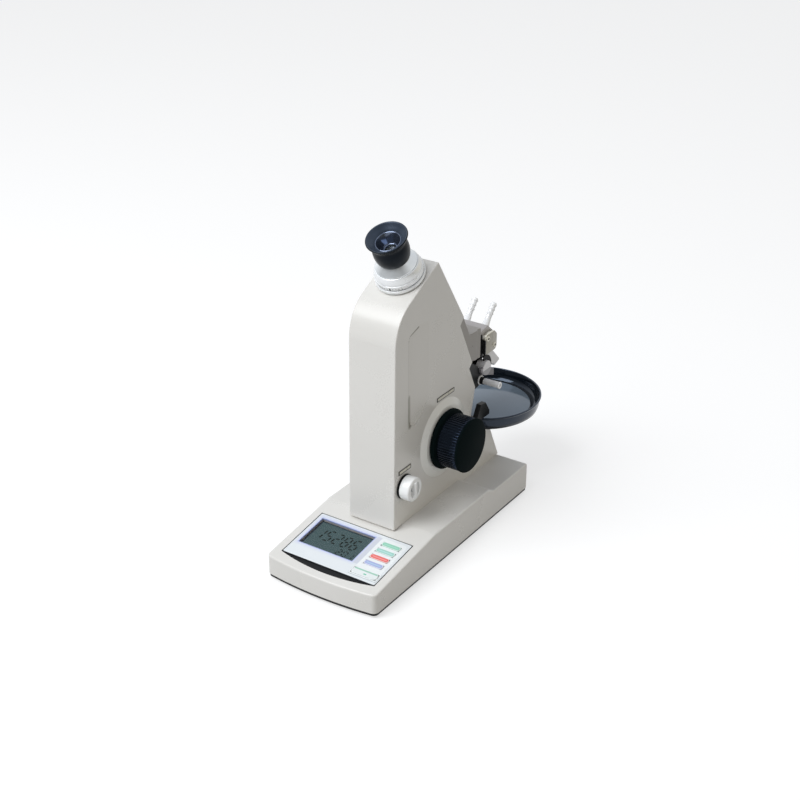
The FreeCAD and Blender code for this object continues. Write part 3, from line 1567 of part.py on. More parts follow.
def lower_hose_nipples():
    """Two plain nipples in the jacket's sides."""
    tip = lower_nipple_length
    points = [
        (nipple_bore_radius, -nipple_spigot_length),
        (nipple_spigot_radius, -nipple_spigot_length),
        (nipple_spigot_radius, 0),
        (ring_radius, 0),
        (ring_radius, ring_length),
        (nipple_spigot_radius, ring_length),
        (nipple_spigot_radius, ring_length + collar_length),
        (lower_nipple_radius, ring_length + collar_length),
        (lower_nipple_radius, tip - nipple_root_length),
        (lower_nipple_radius * 1.08, tip - nipple_root_length / 2),
        (lower_nipple_radius * 0.95, tip),
        (nipple_bore_radius, tip),
    ]
    piece = turned(points, V(jacket_half_width, lower_nipple_y, lower_nipple_z), X_AXIS)
    return both_sides(piece)


def nipple_collars():
    """Black seal rings behind the lower nipples' tubes."""
    x0 = jacket_half_width + ring_length
    ring = rod(collar_radius, x0, x0 + collar_length, lower_nipple_y, lower_nipple_z)
    ring = ring.cut(rod(nipple_spigot_radius, x0, x0 + collar_length, lower_nipple_y, lower_nipple_z))
    return both_sides(ring)


def drip_tray():
    """Round dish under the prisms."""
    foot = tray_radius - tray_taper
    points = [
        (0, 0),
        (foot - tray_round, 0),
        (foot, tray_round * 0.6),
        (tray_radius - tray_wall * 0.6, tray_height - tray_wall * 1.5),
        (tray_radius, tray_height - tray_wall),
        (tray_radius, tray_height - tray_wall * 0.3),
        (tray_radius - tray_wall * 0.4, tray_height),
        (tray_radius - tray_wall, tray_height),
        (foot - tray_wall, tray_round * 0.6 + tray_floor),
        (foot - tray_wall - tray_round, tray_floor),
        (0, tray_floor),
    ]
    return turned(points, V(0, tray_y, pocket_floor_z), Z_AXIS)


def tray_bracket():
    """Black bracket on the pocket's wall; its ears reach over the rim."""
    low = tray_rim_z + tray_slide_gap
    bar = [
        (pocket_front_y, pocket_bend_z - free_gap),
        (pocket_front_y, low - bracket_bar_height),
        (pocket_front_y + bracket_bar_depth, low - bracket_bar_height),
        (pocket_front_y + bracket_bar_depth, low + bracket_bar_height / 2),
    ]
    body = eased(slab(bar, -bracket_half_width, bracket_half_width), machined_ease)
    ear = [
        (pocket_front_y, low),
        (bracket_ear_front_y, bracket_ear_top_z),
        (bracket_ear_rear_y, bracket_ear_top_z - overrun),
        (bracket_ear_toe_y, bracket_ear_toe_z),
        (bracket_ear_toe_y, low),
    ]
    ears = eased(slab(ear, half_column + free_gap, bracket_half_width), machined_ease)
    body = body.fuse(both_sides(ears))
    room = Part.makeCylinder(tray_radius + tray_slide_gap, tray_height + tray_slide_gap,
                             V(0, tray_y, pocket_floor_z))
    return body.cut(room).removeSplitter()


def all_nodes():
    """Every node's name and shape."""
    key_names = ("wide_key", "blue_key", "red_key", "lower_green_key", "upper_green_key")
    nodes = {
        "base_housing": base_housing(),
        "base_plate": base_plate(),
        "rubber_feet": rubber_feet(),
        "machine_screws": case_screws() + inner_screws(),
        "display_panel": display_panel(),
        "panel_trim": panel_trim(),
        "display_window": display_window(),
        "display_module": display_module(),
        "control_board": control_board(),
        "side_sockets": side_sockets(),
        "column_housing": column_housing(),
        "label_plates": label_plates(),
        "prism_block": prism_block(),
        "main_prism": main_prism(),
        "main_prism_bezel": prism_bezel(block_rear_y, measuring_y - sample_gap / 2 - prism_proud),
        "jacket_base": jacket_base(),
        "hinge_cheeks": hinge_cheeks(),
        "hinge_pin": hinge_pin(),
        "lower_hose_nipples": lower_hose_nipples(),
        "nipple_collars": nipple_collars(),
        "lid_block": lid_block(),
        "lid_side_plates": lid_side_plates(),
        "lid_screws": lid_screws(),
        "illuminating_prism": illuminating_prism(),
        "lid_prism_bezel": prism_bezel(measuring_y + sample_gap / 2 + prism_proud, lid_front_y),
        "upper_hose_nipples": upper_hose_nipples(),
        "drip_tray": drip_tray(),
        "tray_bracket": tray_bracket(),
        "knob_bush": knob_bush(),
        "measuring_knob": measuring_knob(),
        "measuring_shaft": measuring_shaft(),
        "encoder_disc": encoder_disc(),
        "encoder_reader": encoder_reader(),
        "sector_gear": sector_gear(),
        "mirror_cradle": mirror_cradle(),
        "tilting_mirror": tilting_mirror(),
        "optics_frame": optics_frame(),
        "compensator_knob": compensator_knob(),
        "compensator_knob_ring": compensator_knob_ring(),
        "compensator_shaft": compensator_shaft(),
        "compensator_bushes": compensator_bushes(),
        "cross_shaft": cross_shaft(),
        "drive_belt": drive_belt(),
        "compensator_sleeve": compensator_sleeve(),
        "upper_cell_ring": compensator_cell(upper_cell_top),
        "upper_cell_prism": compensator_prism(upper_cell_top),
        "lower_cell_ring": compensator_cell(lower_cell_top),
        "lower_cell_prism": compensator_prism(lower_cell_top),
        "telescope_tube": telescope_tube(),
        "objective_lens": objective_lens(),
        "eyepiece_flange": eyepiece_flange(),
        "focus_ring": focus_ring(),
        "eyepiece_barrel": eyepiece_barrel(),
        "eyecup": eyecup(),
        "eye_lens": eye_lens(),
    }
    for name, row in zip(key_names, key_rows()):
        nodes[name] = key(*row)
    return nodes


os.makedirs("parts", exist_ok=True)
for name, shape in all_nodes().items():
    if isinstance(shape, list):
        shape = Part.makeCompound(shape)
    shape.exportStep("parts/" + name + ".step")
    print(name, len(shape.Solids), shape.isValid(), round(shape.Volume, 1))
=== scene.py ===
import math

import bpy
from mathutils import Matrix, Vector


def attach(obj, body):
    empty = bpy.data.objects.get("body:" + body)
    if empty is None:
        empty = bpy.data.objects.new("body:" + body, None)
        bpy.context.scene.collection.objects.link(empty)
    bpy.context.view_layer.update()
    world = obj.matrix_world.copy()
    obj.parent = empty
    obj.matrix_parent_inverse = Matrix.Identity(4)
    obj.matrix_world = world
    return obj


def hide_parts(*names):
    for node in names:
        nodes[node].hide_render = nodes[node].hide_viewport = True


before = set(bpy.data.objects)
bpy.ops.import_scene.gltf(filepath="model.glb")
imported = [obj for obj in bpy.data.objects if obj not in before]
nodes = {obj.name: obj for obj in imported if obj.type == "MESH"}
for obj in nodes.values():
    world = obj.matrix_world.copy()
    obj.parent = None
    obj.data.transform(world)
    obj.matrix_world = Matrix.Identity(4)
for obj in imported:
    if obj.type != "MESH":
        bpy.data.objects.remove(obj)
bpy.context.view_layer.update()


# The bench and the light. The instrument stands on a white bench top under one wide soft lamp, high on its
# left and in front, in a pale room with a dim near side, a warm right wall and a cool ceiling. The bench
# looks white and keeps a light shadow, but throws back only half of the light, so shaded sides stay grey.
MM = 0.001
aim = Vector((31.8, -54.9, 185.5)) * MM
lamp_way = Vector((-0.28, -0.60, 0.75)).normalized()
lamp_distance = 2.4
lamp_size = 1.5
lamp_power = 46.0
lamp_tint = (0.96, 0.98, 1.0)
room_bright_way = (-0.25, 0.75, 0.85)
room_fade = (-0.1, 0.45)
room_near_side = 0.22
room_light = 0.5
white = "#FFFFFF"
warm_wall = "#FFF0CC"
cool_ceiling = "#F1F6FF"
bench_colour = "#B4B4B4"
bench_glow = 0.62
bench_size = 16.0


def linear(code):
    """The linear colour of an sRGB hex value."""
    parts = [int(code[i:i + 2], 16) / 255 for i in (1, 3, 5)]
    return [p / 12.92 if p <= 0.04045 else ((p + 0.055) / 1.055) ** 2.4 for p in parts] + [1.0]


def bare_tree(owner):
    """The empty node tree of a material or world."""
    owner.use_nodes = True
    owner.node_tree.nodes.clear()
    return owner.node_tree


def add_node(tree, kind, settings=None, sources=None):
    """Adds a node, sets its attributes and sockets by name or number, and links its sources."""
    node = tree.nodes.new(kind)
    for name, value in (settings or {}).items():
        if name == "stops":
            for stop, (spot, colour) in zip(node.color_ramp.elements, value):
                stop.position = spot
                stop.color = colour
        elif isinstance(name, int) or name in node.inputs:
            node.inputs[name].default_value = value
        else:
            setattr(node, name, value)
    for name, source in (sources or {}).items():
        tree.links.new(source, node.inputs[name])
    return node


room = bpy.data.worlds.new("pale_room")
bpy.context.scene.world = room
tree = bare_tree(room)
way = add_node(tree, "ShaderNodeTexCoord").outputs["Generated"]
way_parts = add_node(tree, "ShaderNodeSeparateXYZ", {}, {0: way}).outputs
rays = add_node(tree, "ShaderNodeLightPath").outputs
bright_side = add_node(tree, "ShaderNodeVectorMath", {"operation": "DOT_PRODUCT", 1: room_bright_way},
                       {0: way}).outputs["Value"]
wall_light = add_node(tree, "ShaderNodeMapRange",
                      {"From Min": room_fade[0], "From Max": room_fade[1], "To Min": room_near_side,
                       "To Max": 1.0}, {"Value": bright_side}).outputs["Result"]
mirrored = add_node(tree, "ShaderNodeMix", {"data_type": "FLOAT", 2: room_light},
                    {0: rays["Is Glossy Ray"], 3: wall_light}).outputs[0]
direct = add_node(tree, "ShaderNodeMath", {"operation": "MAXIMUM"},
                  {0: rays["Is Camera Ray"], 1: rays["Is Transmission Ray"]}).outputs[0]
level = add_node(tree, "ShaderNodeMix", {"data_type": "FLOAT", 3: 1.0}, {0: direct, 2: mirrored}).outputs[0]
indirect = add_node(tree, "ShaderNodeMath", {"operation": "SUBTRACT", 0: 1.0}, {1: direct}).outputs[0]
warmth = add_node(tree, "ShaderNodeMath", {"operation": "MULTIPLY", "use_clamp": True},
                  {0: way_parts["X"], 1: indirect}).outputs[0]
coolness = add_node(tree, "ShaderNodeMath", {"operation": "MULTIPLY", "use_clamp": True},
                    {0: way_parts["Z"], 1: indirect}).outputs[0]
warmed = add_node(tree, "ShaderNodeMix", {"data_type": "RGBA", 6: linear(white), 7: linear(warm_wall)},
                  {0: warmth}).outputs[2]
wall_colour = add_node(tree, "ShaderNodeMix", {"data_type": "RGBA", 7: linear(cool_ceiling)},
                       {0: coolness, 6: warmed}).outputs[2]
walls = add_node(tree, "ShaderNodeBackground", {}, {"Color": wall_colour, "Strength": level}).outputs[0]
add_node(tree, "ShaderNodeOutputWorld", {}, {"Surface": walls})

bpy.ops.mesh.primitive_plane_add(size=bench_size)
bench = bpy.context.object
bench.name = "bench_top"
laminate = bpy.data.materials.new("white_bench_laminate")
tree = bare_tree(laminate)
rays = add_node(tree, "ShaderNodeLightPath").outputs
seen = rays["Is Camera Ray"]
for ray in ("Is Glossy Ray", "Is Transmission Ray"):
    seen = add_node(tree, "ShaderNodeMath", {"operation": "MAXIMUM"}, {0: seen, 1: rays[ray]}).outputs[0]
glow = add_node(tree, "ShaderNodeMath", {"operation": "MULTIPLY", 1: bench_glow}, {0: seen}).outputs[0]
bench_white = add_node(tree, "ShaderNodeEmission", {"Color": linear(white)}, {"Strength": glow}).outputs[0]
bench_grey = add_node(tree, "ShaderNodeBsdfDiffuse", {"Color": linear(bench_colour)}).outputs[0]
bench_skin = add_node(tree, "ShaderNodeAddShader", {}, {0: bench_white, 1: bench_grey}).outputs[0]
add_node(tree, "ShaderNodeOutputMaterial", {}, {"Surface": bench_skin})
bench.data.materials.append(laminate)

bpy.ops.object.light_add(type="AREA", location=aim + lamp_way * lamp_distance)
lamp = bpy.context.object
lamp.rotation_euler = lamp_way.to_track_quat("Z", "Y").to_euler()
lamp.data.size = lamp_size
lamp.data.energy = lamp_power
lamp.data.color = lamp_tint


# The camera, where the photographer stood: high in front and to the right, with a long lens, so that the
# upright edges stay nearly upright.
camera_place = Vector((718.2, -1075.4, 811.5)) * MM
view_way = Vector((-0.4974, 0.7395, -0.4536))
lens = 65.925
sensor_width = 36.0

bpy.ops.object.camera_add(location=camera_place, rotation=view_way.to_track_quat("-Z", "Y").to_euler())
camera = bpy.context.object
camera.data.sensor_fit = "HORIZONTAL"
camera.data.sensor_width = sensor_width
camera.data.lens = lens
bpy.context.scene.camera = camera
bpy.context.scene.view_settings.view_transform = "Standard"


# The castings: the wedge-fronted base and the tall leaning column, cast in aluminium under warm grey stove
# enamel, which flows to a fine orange-peel skin with a half-gloss. Painted shade darkens it behind the front
# lip of the scoop in each side of the column, and a painted highlight makes the round boss for the large
# knob paler.
cloud_range = (0.2, 0.8)
speckle = 0.14
side_view = (0, 1, 1)
top_view = (1, 1, 0)
all_round = (1, 1, 1)
scoop_painted_shade = "#928E82"
boss_painted_highlight = "#F0F0EC"
boss_centre = (0, 30.0, 106.5)
boss_radius = 42.6
boss_middle_x = 30.2
boss_half_height = 3.0
top_lip_centre = (0, -22.8, 241.6)
top_lip_lean = math.radians(19)


def finish(name, colours, cloud_mm, roughness, grain_mm, depth_mm, specular=0.5, tint=white, **shader_values):
    """A finish whose colour and gloss drift in soft clouds, over an even grain of a real size and depth."""
    material = bpy.data.materials.new(name)
    tree = bare_tree(material)
    place = add_node(tree, "ShaderNodeTexCoord").outputs["Object"]
    grain = add_node(tree, "ShaderNodeTexNoise", {"Scale": 1 / (grain_mm * MM), "Detail": 2.0},
                     {"Vector": place}).outputs["Fac"]
    drift = add_node(tree, "ShaderNodeTexNoise", {"Scale": 1 / (cloud_mm * MM), "Detail": 1.0},
                     {"Vector": place}).outputs["Fac"]
    clouds = add_node(tree, "ShaderNodeMix", {"data_type": "FLOAT", 0: speckle},
                      {2: drift, 3: grain}).outputs[0]
    colour = add_node(tree, "ShaderNodeValToRGB",
                      {"stops": [(spot, linear(code)) for spot, code in zip(cloud_range, colours)]},
                      {"Fac": clouds}).outputs["Color"]
    gloss = add_node(tree, "ShaderNodeMapRange",
                     {"From Min": cloud_range[0], "From Max": cloud_range[1], "To Min": roughness[0],
                      "To Max": roughness[1]}, {"Value": clouds}).outputs["Result"]
    skin = add_node(tree, "ShaderNodeBump", {"Distance": depth_mm * MM}, {"Height": grain}).outputs["Normal"]
    shader = add_node(tree, "ShaderNodeBsdfPrincipled",
                      {"Specular IOR Level": specular, "Specular Tint": linear(tint), **shader_values},
                      {"Base Color": colour, "Roughness": gloss, "Normal": skin}).outputs["BSDF"]
    add_node(tree, "ShaderNodeOutputMaterial", {}, {"Surface": shader})
    return material


def dress(material, *names):
    """Gives CAD nodes their finish."""
    for name in names:
        for place in nodes[name].material_slots:
            place.material = material


def place_in_mm(material):
    """Object coordinates in millimetres."""
    place = add_node(material.node_tree, "ShaderNodeTexCoord").outputs["Object"]
    return add_node(material.node_tree, "ShaderNodeVectorMath", {"operation": "SCALE", "Scale": 1 / MM},
                    {0: place}).outputs[0]


def box_mask(material, place, centre, half, corner, soft, keep):
    """1 inside a round-cornered field, 0 outside; keep names the axes that count."""
    tree = material.node_tree
    offset = add_node(tree, "ShaderNodeVectorMath", {"operation": "SUBTRACT", 1: centre}, {0: place})
    flat = add_node(tree, "ShaderNodeVectorMath", {"operation": "MULTIPLY", 1: keep}, {0: offset.outputs[0]})
    way = add_node(tree, "ShaderNodeVectorMath", {"operation": "ABSOLUTE"}, {0: flat.outputs[0]})
    straight = [(h - corner) * k for h, k in zip(half, keep)]
    over = add_node(tree, "ShaderNodeVectorMath", {"operation": "SUBTRACT", 1: straight}, {0: way.outputs[0]})
    past = add_node(tree, "ShaderNodeVectorMath", {"operation": "MAXIMUM", 1: (0, 0, 0)},
                    {0: over.outputs[0]})
    far = add_node(tree, "ShaderNodeVectorMath", {"operation": "LENGTH"}, {0: past.outputs[0]})
    return add_node(tree, "ShaderNodeMapRange",
                    {"From Min": corner - soft / 2, "From Max": corner + soft / 2, "To Min": 1.0,
                     "To Max": 0.0}, {"Value": far.outputs["Value"]}).outputs["Result"]


def print_over(material, colour, mask):
    """Lays one colour over the material's present colour."""
    tree = material.node_tree
    paint = tree.nodes["Principled BSDF"].inputs["Base Color"]
    under = paint.links[0].from_socket
    ink = add_node(tree, "ShaderNodeMix", {"data_type": "RGBA", 7: linear(colour)}, {0: mask, 6: under})
    tree.links.new(ink.outputs[2], paint)


def print_field(material, place, colour, centre, half, corner, soft, keep):
    """Prints a round-cornered field of one colour; its sizes are in mm."""
    print_over(material, colour, box_mask(material, place, centre, half, corner, soft, keep))


enamel = finish("stove_enamel_on_cast_aluminium", ("#DCDAD5", "#E2E0DC"), cloud_mm=90.0,
                roughness=(0.24, 0.32), grain_mm=1.5, depth_mm=0.012)
enamel_mm = place_in_mm(enamel)
top_lip = add_node(enamel.node_tree, "ShaderNodeMapping",
                   {"vector_type": "TEXTURE", "Location": top_lip_centre, "Rotation": (top_lip_lean, 0, 0)},
                   {"Vector": enamel_mm}).outputs[0]
# Painted shade: dark fields along the front lip and the top lip of the scoop in each side.
for lip_place, centre, half, corner, soft in (
        (enamel_mm, (0, -31.7, 193.0), (0, 1.2, 44.0), 1.1, 1.6),
        (enamel_mm, (0, -30.6, 160.0), (0, 2.5, 17.0), 2.4, 3.4),
        (top_lip, (0, 0, 0), (0, 9.5, 1.0), 0.9, 1.2)):
    print_field(enamel, lip_place, scoop_painted_shade, centre, half, corner, soft, side_view)
# Painted highlight: the boss's bevelled ring is printed paler, as if lit by the lamp.
boss_disc = box_mask(enamel, enamel_mm, boss_centre, (0, boss_radius, boss_radius), boss_radius - 0.1, 0.6,
                     side_view)
boss_side = box_mask(enamel, enamel_mm, (boss_middle_x, 0, 0), (boss_half_height, 0, 0), 0.1, 0.1, (1, 0, 0))
boss = add_node(enamel.node_tree, "ShaderNodeMath", {"operation": "MULTIPLY"}, {0: boss_disc, 1: boss_side})
print_over(enamel, boss_painted_highlight, boss.outputs[0])
dress(enamel, "base_housing", "column_housing")


# The bottom plate, the water jacket's body and the tray's bracket: steel and brass parts in black powder
# coat, a matt skin with a fine pebble. The four feet pressed into the plate are moulded in dull rubber.
powder_coat = finish("black_powder_coat", ("#0C0E10", "#131517"), cloud_mm=30.0, roughness=(0.42, 0.55),
                     grain_mm=0.6, depth_mm=0.01, specular=0.3)
foot_rubber = finish("moulded_foot_rubber", ("#121212", "#1A1A19"), cloud_mm=12.0, roughness=(0.7, 0.8),
                     grain_mm=0.5, depth_mm=0.02)
dress(powder_coat, "base_plate", "jacket_base", "tray_bracket")
dress(foot_rubber, "rubber_feet")


# Screws, pins and shafts: turned steel, plated bright. The lathe leaves a light and a dark streak that
# drifts along each piece, and a fine scratch across it.
plated_steel = finish("zinc_plated_turned_steel", ("#B7B9BC", "#CDCFD1"), cloud_mm=3.0,
                      roughness=(0.22, 0.34), grain_mm=0.3, depth_mm=0.004, Metallic=1.0)
dress(plated_steel, "machine_screws", "hinge_pin", "lid_screws", "measuring_shaft", "encoder_disc",
      "compensator_shaft", "cross_shaft")


# The fascia: a white polycarbonate overlay let into the slope. It is printed from behind with a black
# line along its edge, a blue glow round the window and a whiter field that carries the keys.
fascia_origin = Vector((0, -145, 26.8))
fascia_rise, fascia_run = 14.4, 103.0
fascia_tilt = math.atan2(fascia_rise, fascia_run)
print_soft = 0.25


def on_fascia(material):
    """Object coordinates in mm on the slope: x to the right, y up the slope, z out of it."""
    place = add_node(material.node_tree, "ShaderNodeTexCoord").outputs["Object"]
    back = Matrix.Rotation(-fascia_tilt, 3, "X") @ -fascia_origin
    return add_node(material.node_tree, "ShaderNodeMapping",
                    {"Location": back, "Rotation": (-fascia_tilt, 0, 0), "Scale": (1 / MM, 1 / MM, 1 / MM)},
                    {"Vector": place}).outputs["Vector"]


overlay = finish("printed_polycarbonate_overlay", ("#1B1D20", "#212327"), cloud_mm=40.0,
                 roughness=(0.24, 0.32), grain_mm=0.5, depth_mm=0.004)
overlay_place = on_fascia(overlay)
for colour, centre, half, corner, soft in (
        ("#E3E8EB", (0, 45.5, 0), (54.4, 32.9, 0), 1.2, print_soft),
        ("#D5DAEC", (-17.05, 52.6, 0), (35.6, 24.0, 0), 2.6, 4.4),
        ("#AEB9E6", (-17.05, 52.1, 0), (33.2, 21.3, 0), 1.0, 1.4),
        ("#CFD3DE", (19.6, 52.6, 0), (2.6, 22.0, 0), 1.0, 1.6),
        ("#EDF1F2", (37.0, 50.0, 0), (14.6, 25.0, 0), 4.0, print_soft),
        ("#AEB8B8", (37.2, 22.1, 0), (16.2, 6.2, 0), 1.2, print_soft),
        ("#EDF1F2", (37.0, 22.4, 0), (15.9, 5.9, 0), 1.0, print_soft)):
    print_field(overlay, overlay_place, colour, centre, half, corner, soft, top_view)
dress(overlay, "display_panel")


# The black crescent in front of the fascia, the sockets, the pickup's body and the ring behind the white
# knob: black moulded plastic, fine-textured from the mould.
black_moulding = finish("moulded_black_abs", ("#07090B", "#0B0D10"), cloud_mm=20.0, roughness=(0.34, 0.44),
                        grain_mm=0.4, depth_mm=0.006, specular=0.2)
dress(black_moulding, "panel_trim", "side_sockets", "encoder_reader", "compensator_knob_ring")


# The display: a clear acrylic window over the grey-green face of a liquid crystal, which stands on its
# board below. The face shows a reading of five figures and, under it, a temperature of three. The window
# passes nearly all light straight through, so that the figures stay sharp.
window_acrylic = finish("clear_acrylic_window", ("#1C2422", "#222A28"), cloud_mm=20.0, roughness=(0.04, 0.07),
                        grain_mm=2.0, depth_mm=0.001, Alpha=0.08)
crystal_face = finish("reflective_liquid_crystal_face", ("#141B2E", "#1A2236"), cloud_mm=15.0,
                      roughness=(0.3, 0.4), grain_mm=0.4, depth_mm=0.002, specular=0.1)
# The navy colour left round the grey-green field, widest at the top and left, is painted shadow of the
# window's recess.
print_field(crystal_face, on_fascia(crystal_face), "#4F6466", (-15.7, 50.6, 0), (31.0, 19.2, 0), 0.8, 1.6,
            top_view)
board_laminate = finish("green_solder_mask_on_glass_fibre", ("#1E4A2C", "#275C38"), cloud_mm=4.0,
                        roughness=(0.35, 0.5), grain_mm=0.8, depth_mm=0.02)
dress(window_acrylic, "display_window")
dress(crystal_face, "display_module")
dress(board_laminate, "control_board")

figure_ink = finish("dark_liquid_crystal_figure", ("#101817", "#151D1C"), cloud_mm=6.0,
                    roughness=(0.35, 0.45), grain_mm=0.4, depth_mm=0.002, specular=0.1)
figure_strokes = {"0": "abcdef", "1": "bc", "2": "abged", "5": "afgcd", "6": "afgedc", "8": "abcdefg"}
figure_slant = 0.12
stroke_point_share = 0.49
stroke_reach_share = 0.9
ink_height = 0.08
face_level = -2.0


def block(size, centre):
    """A box of a size at a place, both in mm and held in its mesh."""
    bpy.ops.object.select_all(action="DESELECT")
    bpy.ops.mesh.primitive_cube_add(size=1, scale=[s * MM for s in size], location=[c * MM for c in centre])
    bpy.ops.object.transform_apply(location=True, rotation=True, scale=True)
    return bpy.context.object


def stroke(length, width):
    """One long bar with pointed ends, lying along X at the origin."""
    bar = block((length, width, ink_height), (0, 0, 0))
    bpy.ops.object.mode_set(mode="EDIT")
    bpy.ops.mesh.select_mode(type="EDGE")
    bpy.ops.mesh.select_all(action="DESELECT")
    bpy.ops.object.mode_set(mode="OBJECT")
    for edge in bar.data.edges:
        ends = [bar.data.vertices[i].co for i in edge.vertices]
        edge.select = abs(ends[0].z - ends[1].z) > ink_height * MM / 2
    bpy.ops.object.mode_set(mode="EDIT")
    bpy.ops.mesh.bevel(offset=width * MM * stroke_point_share, segments=1, affect="EDGES")
    bpy.ops.object.mode_set(mode="OBJECT")
    return bar


def figure(sign, left, foot, width, height, thick):
    """The strokes of one figure, placed on the crystal's face."""
    half = height / 2
    tall = half - thick * stroke_reach_share
    wide = width - thick * stroke_reach_share
    spots = {"a": (width / 2, height, 0), "g": (width / 2, half, 0), "d": (width / 2, 0, 0),
             "f": (0, height * 0.75, 1), "b": (width, height * 0.75, 1),
             "e": (0, height * 0.25, 1), "c": (width, height * 0.25, 1)}
    lean = Matrix(((1, figure_slant, 0, 0), (0, 1, 0, 0), (0, 0, 1, 0), (0, 0, 0, 1)))
    lift = Matrix.Translation(Vector((left, foot, face_level)) * MM)
    tilt = Matrix.Translation(fascia_origin * MM) @ Matrix.Rotation(fascia_tilt, 4, "X")
    bars = []
    for key in figure_strokes[sign]:
        x, y, upright = spots[key]
        bar = stroke(tall if upright else wide, thick)
        turn_up = Matrix.Rotation(math.radians(90) * upright, 4, "Z")
        shift = Matrix.Translation(Vector((x, y, 0)) * MM)
        bar.data.transform(tilt @ lift @ lean @ shift @ turn_up)
        bars.append(bar)
    return bars


def joined(name, parts):
    """Several meshes as one piece."""
    bpy.ops.object.select_all(action="DESELECT")
    for part in parts:
        part.select_set(True)
    bpy.context.view_layer.objects.active = parts[0]
    bpy.ops.object.join()
    piece = bpy.context.object
    piece.name = name
    return piece


bars = []
for signs, left, pitch, foot, width, height, thick in (("15286", -42.6, 10.4, 46.6, 6.4, 15.0, 1.8),
                                                       ("201", -8.2, 7.0, 34.4, 4.4, 8.0, 1.2)):
    for i, sign in enumerate(signs):
        bars += figure(sign, left + i * pitch, foot, width, height, thick)
figures = joined("lcd_figures", bars)
figures.data.materials.append(figure_ink)
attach(figures, "stand")


# The keys: five silicone-backed caps that stand a little out of the fascia. The wide one is white with a
# green stripe, the others are washed in green, blue and red, and each is printed with a paler pill.
key_centre_x = 37.0
key_half = (10.5, 3.0)
key_round_share = 0.98
for name, node, rim, face, pill, centre_y in (
        ("green_key_cap", "upper_green_key", "#D6E9E0", "#8FD0B6", "#A6DBC6", 67.7),
        ("lower_green_key_cap", "lower_green_key", "#DDECE9", "#9BD2C4", "#B7DFDC", 57.6),
        ("red_key_cap", "red_key", "#F3C9C6", "#EA605C", "#F29A96", 47.5),
        ("blue_key_cap", "blue_key", "#DCDFF0", "#A3ACDD", "#B2CBE6", 37.4)):
    cap = finish("silicone_" + name, (rim, rim), cloud_mm=10.0, roughness=(0.4, 0.5), grain_mm=0.4,
                 depth_mm=0.004)
    cap_place = on_fascia(cap)
    for colour, inset, soft in ((face, 0.7, 0.7), (pill, 2.1, 0.9)):
        half = (key_half[0] - inset, key_half[1] - inset, 0)
        print_field(cap, cap_place, colour, (key_centre_x, centre_y, 0), half, half[1] * key_round_share,
                    soft, top_view)
    dress(cap, node)
wide_cap = finish("silicone_wide_key_cap", ("#E4EAEA", "#E9EEEE"), cloud_mm=10.0, roughness=(0.4, 0.5),
                  grain_mm=0.4, depth_mm=0.004)
wide_place = on_fascia(wide_cap)
for colour, centre, half, corner, soft in (("#9CCDB8", (37.0, 25.3, 0), (13.2, 0.9, 0), 0.8, 0.5),
                                           ("#6FC3A6", (38.0, 21.0, 0), (1.7, 0.8, 0), 0.7, 0.4)):
    print_field(wide_cap, wide_place, colour, centre, half, corner, soft, top_view)
dress(wide_cap, "wide_key")


# The label plates: two bare plates of pale anodised aluminium on the right side, each printed with a
# black line round it, a thicker bar at both ends and one dividing line.
label_ink = "#24241F"
end_bar_half = 1.1
divider_half = 0.3
divider_share = 0.66
line_half = 0.55
low_line_rise = 0.45
high_line_drop = 0.2
label_sheet = finish("printed_anodised_label", ("#D2CFC0", "#DBD8CA"), cloud_mm=8.0, roughness=(0.3, 0.4),
                     grain_mm=0.5, depth_mm=0.004)
label_mm = place_in_mm(label_sheet)
for y0, y1, z0, z1 in ((17.9, 49.6, 150.3, 154.9), (-50.2, -29.1, 98.9, 103.5)):
    middle = (z0 + z1) / 2
    across = (z1 - z0) / 2
    along = (y1 - y0) / 2
    for y, z, half_y, half_z in ((y0, middle, end_bar_half, across),
                                 (y1, middle, end_bar_half, across),
                                 (y0 + (y1 - y0) * divider_share, middle, divider_half, across),
                                 ((y0 + y1) / 2, z0 + low_line_rise, along, line_half),
                                 ((y0 + y1) / 2, z1 - high_line_drop, along, line_half)):
        print_field(label_sheet, label_mm, label_ink, (0, y, z), (0, half_y, half_z), 0.1, 0.2, side_view)
dress(label_sheet, "label_plates")


# The prism block and the hinged half's body, cheeks and barrels: brass castings under smooth grey enamel
# and matt nickel. The barrels and lugs are painted paler as painted light, and the cheeks are darker below
# the barrels. Black painted shade lies on the knuckle between the barrels, the relief round them, the gap
# under the front of the hinged half and the edges by the prisms; the frames round the prisms are black.
hinge_centre = (0, 120.0, 147.0)
painted_shade_black = "#101012"
edge_painted_shade = "#131314"
block_skin = finish("smooth_grey_enamel_on_brass", ("#8C8782", "#949089"), cloud_mm=20.0,
                    roughness=(0.26, 0.34), grain_mm=0.8, depth_mm=0.006)
lid_skin = finish("matt_nickel_on_cast_brass", ("#A6A2A1", "#B2AEAC"), cloud_mm=14.0, roughness=(0.26, 0.36),
                  grain_mm=0.5, depth_mm=0.004, Metallic=0.15)
cheek_skin = finish("matt_nickel_on_machined_brass", ("#87858A", "#918F93"), cloud_mm=14.0,
                    roughness=(0.3, 0.4), grain_mm=0.5, depth_mm=0.004)
# The lid's fields: painted light over the lugs, then black painted shade on the edges by the prisms, in the
# gap under the front and on the relief round the barrels.
lid_fields = (("#E9E9EA", (0, 136.0, 149.0), (0, 22.0, 11.5), 0.1, 0.4, side_view),
              (edge_painted_shade, (-20.2, 114.5, 171.0), (1.9, 2.7, 9.5), 0.1, 0.2, all_round),
              (edge_painted_shade, (20.2, 114.5, 171.0), (1.9, 2.7, 9.5), 0.1, 0.2, all_round),
              (painted_shade_black, (0, 113.0, 159.5), (0, 5.5, 3.6), 0.1, 0.2, side_view),
              (painted_shade_black, hinge_centre, (0, 12.3, 12.3), 12.2, 0.2, side_view))
